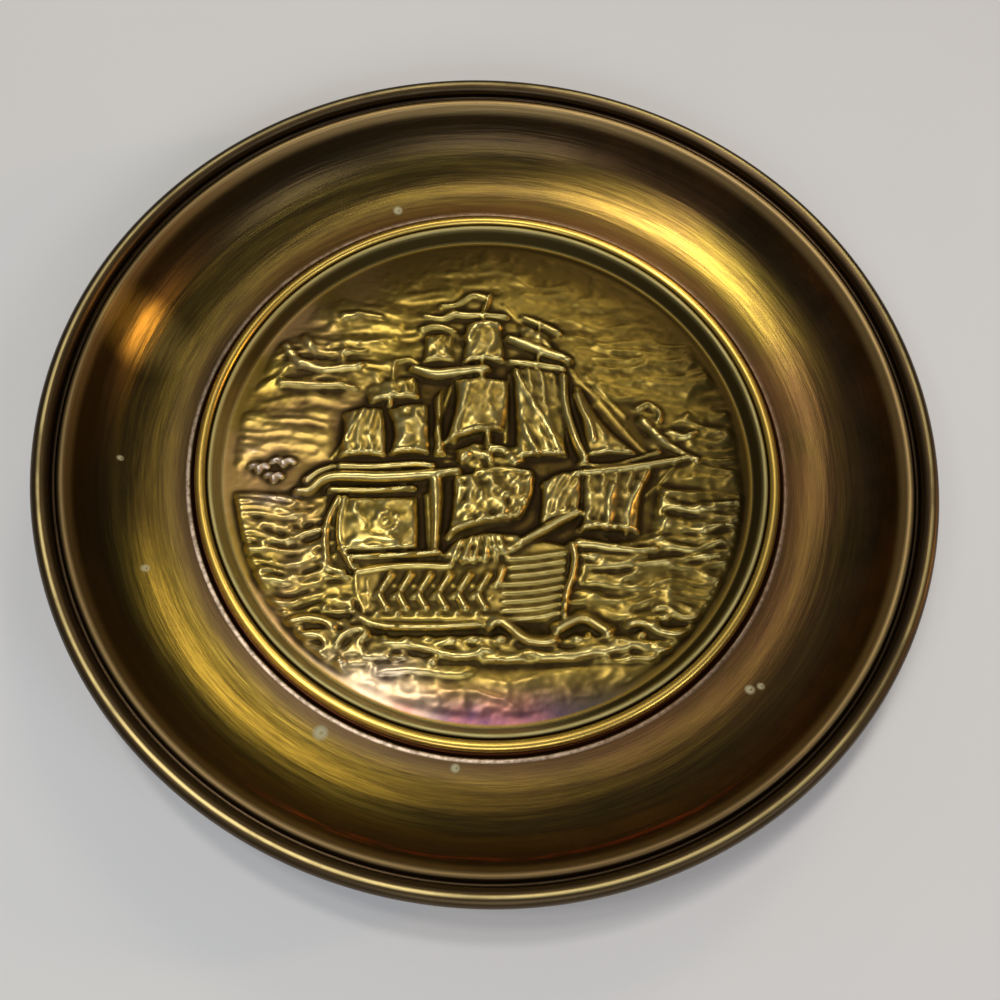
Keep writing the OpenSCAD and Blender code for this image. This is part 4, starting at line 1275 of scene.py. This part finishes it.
def ring_brass(finish):
    """Polished round wire with light handling marks."""
    b = Finish("ring_brass")
    wear = b.noise(b.turned(8.0, 1.2)[1], 1.0, 4.0, 0.6)
    grain = b.noise(b.place, 900.0, 3.0, 0.6)
    tone = b.mix(wear.ramp(0.35, 0.7) * 0.5, finish.ring, (0.50, 0.30, 0.09))
    return b.done(Base_Color=tone, Metallic=1.0, Roughness=0.24 + wear * 0.14,
                  Normal=b.relief(grain, 0.12, 0.00004))


def hanger_brass():
    """Dull rolled strip and drawn wire."""
    b = Finish("hanger_brass")
    cloud = b.noise(b.place, 240.0, 4.0, 0.6)
    grain = b.noise(b.place, 1500.0, 2.0, 0.5)
    tone = b.mix(cloud.ramp(0.3, 0.7) * 0.6, (0.62, 0.45, 0.17), (0.30, 0.20, 0.08))
    return b.done(Base_Color=tone, Metallic=1.0, Roughness=0.30 + cloud * 0.2,
                  Normal=b.relief(grain, 0.2, 0.00004))


def plain_metal(name, light, dark, rough):
    """Cloudy grey metal for the solder and the hidden wire."""
    b = Finish(name)
    cloud = b.noise(b.place, 420.0, 4.0, 0.6)
    tone = b.mix(cloud.ramp(0.3, 0.7), light, dark)
    return b.done(Base_Color=tone, Metallic=1.0, Roughness=rough + cloud * 0.15,
                  Normal=b.relief(cloud, 0.4, 0.0001))


def grey_board():
    """Grey fibre board."""
    b = Finish("grey_board")
    fibre = b.noise(b.place, 900.0, 5.0, 0.7)
    tone = b.mix(fibre.ramp(0.3, 0.7), (0.34, 0.31, 0.27), (0.50, 0.47, 0.42))
    return b.done(Base_Color=tone, Roughness=0.9, Normal=b.relief(fibre, 0.4, 0.0002))


def floor_paint(finish):
    """Pale matt floor with a faint tooth."""
    b = Finish("floor")
    tooth = b.noise(b.place, 1200.0, 2.0, 0.5)
    broad = b.noise(b.place, 6.0, 3.0, 0.5)
    shade_of_floor = tuple(part * 0.96 for part in finish.floor)
    tone = b.mix(broad.ramp(0.3, 0.7), finish.floor, shade_of_floor)
    return b.done(Base_Color=tone, Roughness=0.85, Normal=b.relief(tooth, 0.15, 0.0002))


def set_material(obj, material):
    """Gives a whole object one material."""
    obj.data.materials.clear()
    obj.data.materials.append(material)


def dress_node(name, material):
    """A CAD node keeps its shape and only gets a finish."""
    node = frame["nodes"][name]
    if not node.material_slots:
        node.data.materials.append(material)
    for slot in node.material_slots:
        slot.material = material


def settle(piece, body, slot, *nodes):
    """Puts a piece on its body, in place of its CAD nodes."""
    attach(piece, body)
    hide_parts(*nodes)


# ---------------------------------------------------------------- operators

WIRE_STEPS = 28                 # sides of a round wire
BEND_STEPS, BOW_STEPS = 8, 36   # steps along the bail's corners and along its round end
BARE_EDGE = 0.07                # how far the strip's edges are broken


class WALLDISH_OT_dish(bpy.types.Operator):
    """Build the spun dish with its rolled rim"""
    bl_idname = "wall_dish.dish"
    bl_label = "Spun Dish"

    def execute(self, context):
        lay, dish = profiles(), settings("wall_dish")
        finish = settings("wall_dish_finish")
        points = outline(lay.dish_bends, dish.sheet, Vector((0, dish.sheet / 2)))
        piece = revolved("spun_dish", points, dish.segments, lacquered_brass(finish, lay))
        settle(piece, "plate", "lacquered_brass", "dish")
        dress_node("rim_wire", plain_metal("steel_wire", (0.4, 0.39, 0.37), (0.25, 0.23, 0.2), 0.35))
        dress_node("packing_disc", grey_board())
        return {"FINISHED"}


class WALLDISH_OT_medallion(bpy.types.Operator):
    """Build the pressed ship medallion"""
    bl_idname = "wall_dish.medallion"
    bl_label = "Pressed Medallion"

    def execute(self, context):
        lay, medal = profiles(), settings("wall_dish_medallion")
        piece = new_object("ship_medallion", medallion_mesh(medal, lay))
        set_material(piece, pressed_brass(settings("wall_dish_finish"), medal))
        settle(piece, "plate", "pressed_brass", "medallion")
        return {"FINISHED"}


class WALLDISH_OT_ring(bpy.types.Operator):
    """Build the round wire ring that holds the medallion"""
    bl_idname = "wall_dish.ring"
    bl_label = "Retaining Ring"

    def execute(self, context):
        lay, medal = profiles(), settings("wall_dish_medallion")
        points = circle_points(lay.ring_c, medal.ring_wire / 2, WIRE_STEPS)
        piece = revolved("wire_ring", points, settings("wall_dish").segments,
                         ring_brass(settings("wall_dish_finish")))
        settle(piece, "plate", "ring_brass", "retaining_ring")
        return {"FINISHED"}


class WALLDISH_OT_hanger(bpy.types.Operator):
    """Build the soldered strap and the hinged bail on the back"""
    bl_idname = "wall_dish.hanger"
    bl_label = "Hanger"

    def execute(self, context):
        lay, hanger = profiles(), settings("wall_dish_hanger")
        metal = hanger_brass()
        strap = new_object("hanger_strip", self.strap_mesh(lay, hanger))
        set_material(strap, metal)
        settle(strap, "plate", "hanger_brass", "hanger_strap")
        dress_node("hanger_solder", plain_metal("solder", (0.62, 0.62, 0.60), (0.36, 0.36, 0.35), 0.42))
        path = line_object("bail_path", self.bail_path(hanger), closed=True)
        bail = grown("wire_bail", path, sweep_tree(), Radius=hanger.wire / 2 * MM,
                     Steps=WIRE_STEPS, Material=metal)
        settle(bail, "bail", "hanger_brass", "hanging_bail")
        return {"FINISHED"}

    def strap_mesh(self, lay, hanger):
        """One strip: its tail follows the dish and its end curls around the pin."""
        side = outline(lay.strap_bends, hanger.strap)
        bm = bmesh.new()
        half = hanger.strap_width / 2
        ring = [bm.verts.new(Vector((-half, p.x, p.y)) * MM) for p in side]
        cap = bm.faces.new(ring)
        made = bmesh.ops.extrude_face_region(bm, geom=[cap])
        moved = [v for v in made["geom"] if isinstance(v, bmesh.types.BMVert)]
        bmesh.ops.translate(bm, verts=moved, vec=(2 * half * MM, 0, 0))
        bmesh.ops.recalc_face_normals(bm, faces=bm.faces)
        limit = math.radians(50)
        square = [e for e in bm.edges if e.calc_face_angle(0) > limit]
        bmesh.ops.bevel(bm, geom=square, offset=BARE_EDGE * MM, segments=2, profile=0.5,
                        affect="EDGES", clamp_overlap=True)
        mesh = bpy.data.meshes.new("hanger_strip")
        bm.to_mesh(mesh)
        bm.free()
        shade(mesh, "strip")
        return mesh

    def bail_path(self, hanger):
        """The bail's wire, drawn flat, then hung from its pin at rest."""
        wide = (BAIL_HIGH.x - BAIL_LOW.x - hanger.wire) / 2
        arm = hanger.reach - wide
        corner = hanger.corner
        near, far = wide - corner, corner - wide
        flat = [Vector((x, 0)) for x in np.linspace(far, near, 9)[1:-1]]
        flat += self.arc(near, corner, corner, -QUARTER, QUARTER, BEND_STEPS)
        flat += [Vector((wide, y)) for y in np.linspace(corner, arm, 4)[1:-1]]
        flat += self.arc(0, arm, wide, 0, math.pi, BOW_STEPS)
        flat += [Vector((-wide, y)) for y in np.linspace(arm, corner, 4)[1:-1]]
        flat += self.arc(far, corner, corner, math.pi, QUARTER, BEND_STEPS)
        drop = math.asin((PIN.z - hanger.wire / 2 - BAIL_LOW.z) / hanger.reach)
        hang = Matrix.Rotation(-drop, 4, "X")
        return [PIN + hang @ Vector((p.x, p.y, 0)) for p in flat]

    def arc(self, x, y, radius, start, turn, steps):
        """Points along part of a circle."""
        return [Vector((x, y)) + polar(radius, start + turn * i / steps) for i in range(steps + 1)]


FLOOR_HALF = 0.9                # in metres, like everything on the stage
SKY_COLOUR, SKY_STRENGTH = (0.88, 0.94, 1.0), 0.13
CAMERA_MM = 36.0                # lens and sensor are alike, so the view is 53 degrees wide
CAMERA_AZIMUTH = math.radians(-6.5)
CAMERA_ELEVATION = math.radians(63.256)
CAMERA_DISTANCE = 2.2398        # in dish radii, from the middle of the rim
CAMERA_TURN = (math.radians(-0.757), math.radians(-4.184), math.radians(6.176))  # pan, tilt, roll
LIGHTS = [
    # name, direction from the dish, distance, width, height, light on the dish, colour
    ("far_lamp", (-0.08, 0.20, 0.975), 0.90, 0.08, 0.08, 0.44, (1.0, 0.94, 0.84)),
    ("middle_lamp", (-0.20, 0.08, 0.975), 0.90, 0.08, 0.08, 0.30, (1.0, 0.94, 0.84)),
    ("near_lamp", (-0.34, -0.06, 0.94), 0.90, 0.08, 0.08, 0.24, (1.0, 0.95, 0.88)),
    ("left_panel", (-0.50, -0.30, 0.81), 0.90, 0.16, 0.12, 0.20, (1.0, 0.97, 0.90)),
    ("front_panel", (0.02, -0.80, 0.60), 1.00, 0.60, 0.25, 0.56, (0.88, 0.93, 1.0)),
    ("side_panel", (0.62, -0.45, 0.64), 1.00, 0.30, 0.22, 0.28, (0.90, 0.95, 1.0)),
    ("far_card", (0.27, 0.65, 0.71), 1.10, 0.24, 0.22, 0.26, (1.0, 0.86, 0.56)),
    ("right_lamp", (0.93, 0.06, 0.36), 0.90, 0.05, 0.12, 0.36, (1.0, 0.56, 0.18)),
]


class WALLDISH_OT_stage(bpy.types.Operator):
    """Lay the floor, hang the lights and place the camera"""
    bl_idname = "wall_dish.stage"
    bl_label = "Studio Stage"

    def execute(self, context):
        scene = context.scene
        mesh = bpy.data.meshes.new("floor")
        corners = [(FLOOR_HALF * x, FLOOR_HALF * y, 0) for x, y in ((-1, -1), (1, -1), (1, 1), (-1, 1))]
        mesh.from_pydata(corners, [], [(0, 1, 2, 3)])
        floor = new_object("floor", mesh)
        floor.location.z = CAD_BOX[0][2]
        set_material(floor, floor_paint(settings("wall_dish_finish")))
        for name, direction, far, wide, high, strength, tint in LIGHTS:
            power = math.pi * far ** 2 * strength
            self.light(name, Vector(direction).normalized() * far, wide, high, power, tint)
        world = bpy.data.worlds.new("studio")
        world.use_nodes = True
        sky = world.node_tree.nodes["Background"]
        sky.inputs["Color"].default_value = (*SKY_COLOUR, 1.0)
        sky.inputs["Strength"].default_value = SKY_STRENGTH
        scene.world = world
        scene.view_settings.view_transform = "Standard"
        self.camera(scene)
        return {"FINISHED"}

    def light(self, name, place, wide, high, power, tint):
        """A soft panel that faces the middle of the dish."""
        lamp = bpy.data.lights.new(name, "AREA")
        lamp.shape = "RECTANGLE"
        lamp.size, lamp.size_y = wide, high
        lamp.energy = power
        lamp.color = tint
        obj = new_object(name, lamp)
        obj.location = place
        obj.rotation_euler = place.to_track_quat("Z", "Y").to_euler()

    def camera(self, scene):
        """A camera that looks down on the dish from the front, and its slight turns."""
        lens = bpy.data.cameras.new("camera")
        lens.lens = lens.sensor_width = CAMERA_MM
        lens.clip_start = 0.01
        camera = new_object("camera", lens)
        e, a = CAMERA_ELEVATION, CAMERA_AZIMUTH
        back = Vector((math.sin(a) * math.cos(e), -math.cos(a) * math.cos(e), math.sin(e)))
        right = Vector((0, 0, 1)).cross(back).normalized()
        up = back.cross(right)
        aim = Matrix((right, up, back)).transposed()
        pan, tilt, roll = CAMERA_TURN
        aim = aim @ Matrix.Rotation(pan, 3, "Y") @ Matrix.Rotation(tilt, 3, "X")
        aim = aim @ Matrix.Rotation(roll, 3, "Z")
        reach = CAMERA_DISTANCE * settings("wall_dish").radius
        place = (Vector((0, 0, profiles().roll_c.y)) + back * reach) * MM
        camera.matrix_world = Matrix.Translation(place) @ aim.to_4x4()
        scene.camera = camera


OPERATORS = (WALLDISH_OT_dish, WALLDISH_OT_medallion, WALLDISH_OT_ring, WALLDISH_OT_hanger,
             WALLDISH_OT_stage)


class WALLDISH_PT_panel(bpy.types.Panel):
    """Sizes, finishes and build steps of the wall dish"""
    bl_label = "Wall Dish"
    bl_idname = "WALLDISH_PT_panel"
    bl_space_type = "VIEW_3D"
    bl_region_type = "UI"
    bl_category = "Wall Dish"

    def draw(self, context):
        for group in GROUPS:
            values = getattr(context.scene, group)
            box = self.layout.box()
            for name in values.__annotations__:
                box.prop(values, name)
        for operator in OPERATORS:
            self.layout.operator(operator.bl_idname)


def register():
    """Adds the settings, the operators and the panel."""
    for group in GROUPS.values():
        bpy.utils.register_class(group)
    for name, group in GROUPS.items():
        setattr(bpy.types.Scene, name, bpy.props.PointerProperty(type=group))
    for item in OPERATORS + (WALLDISH_PT_panel,):
        bpy.utils.register_class(item)


def unregister():
    """Takes them out again."""
    for item in (WALLDISH_PT_panel,) + OPERATORS[::-1]:
        bpy.utils.unregister_class(item)
    for name in GROUPS:
        delattr(bpy.types.Scene, name)
    for group in reversed(GROUPS.values()):
        bpy.utils.unregister_class(group)


def main():
    """Builds every piece and the stage."""
    register()
    for operator in OPERATORS:
        group, name = operator.bl_idname.split(".")
        getattr(getattr(bpy.ops, group), name)()


if __name__ == "__main__":
    main()
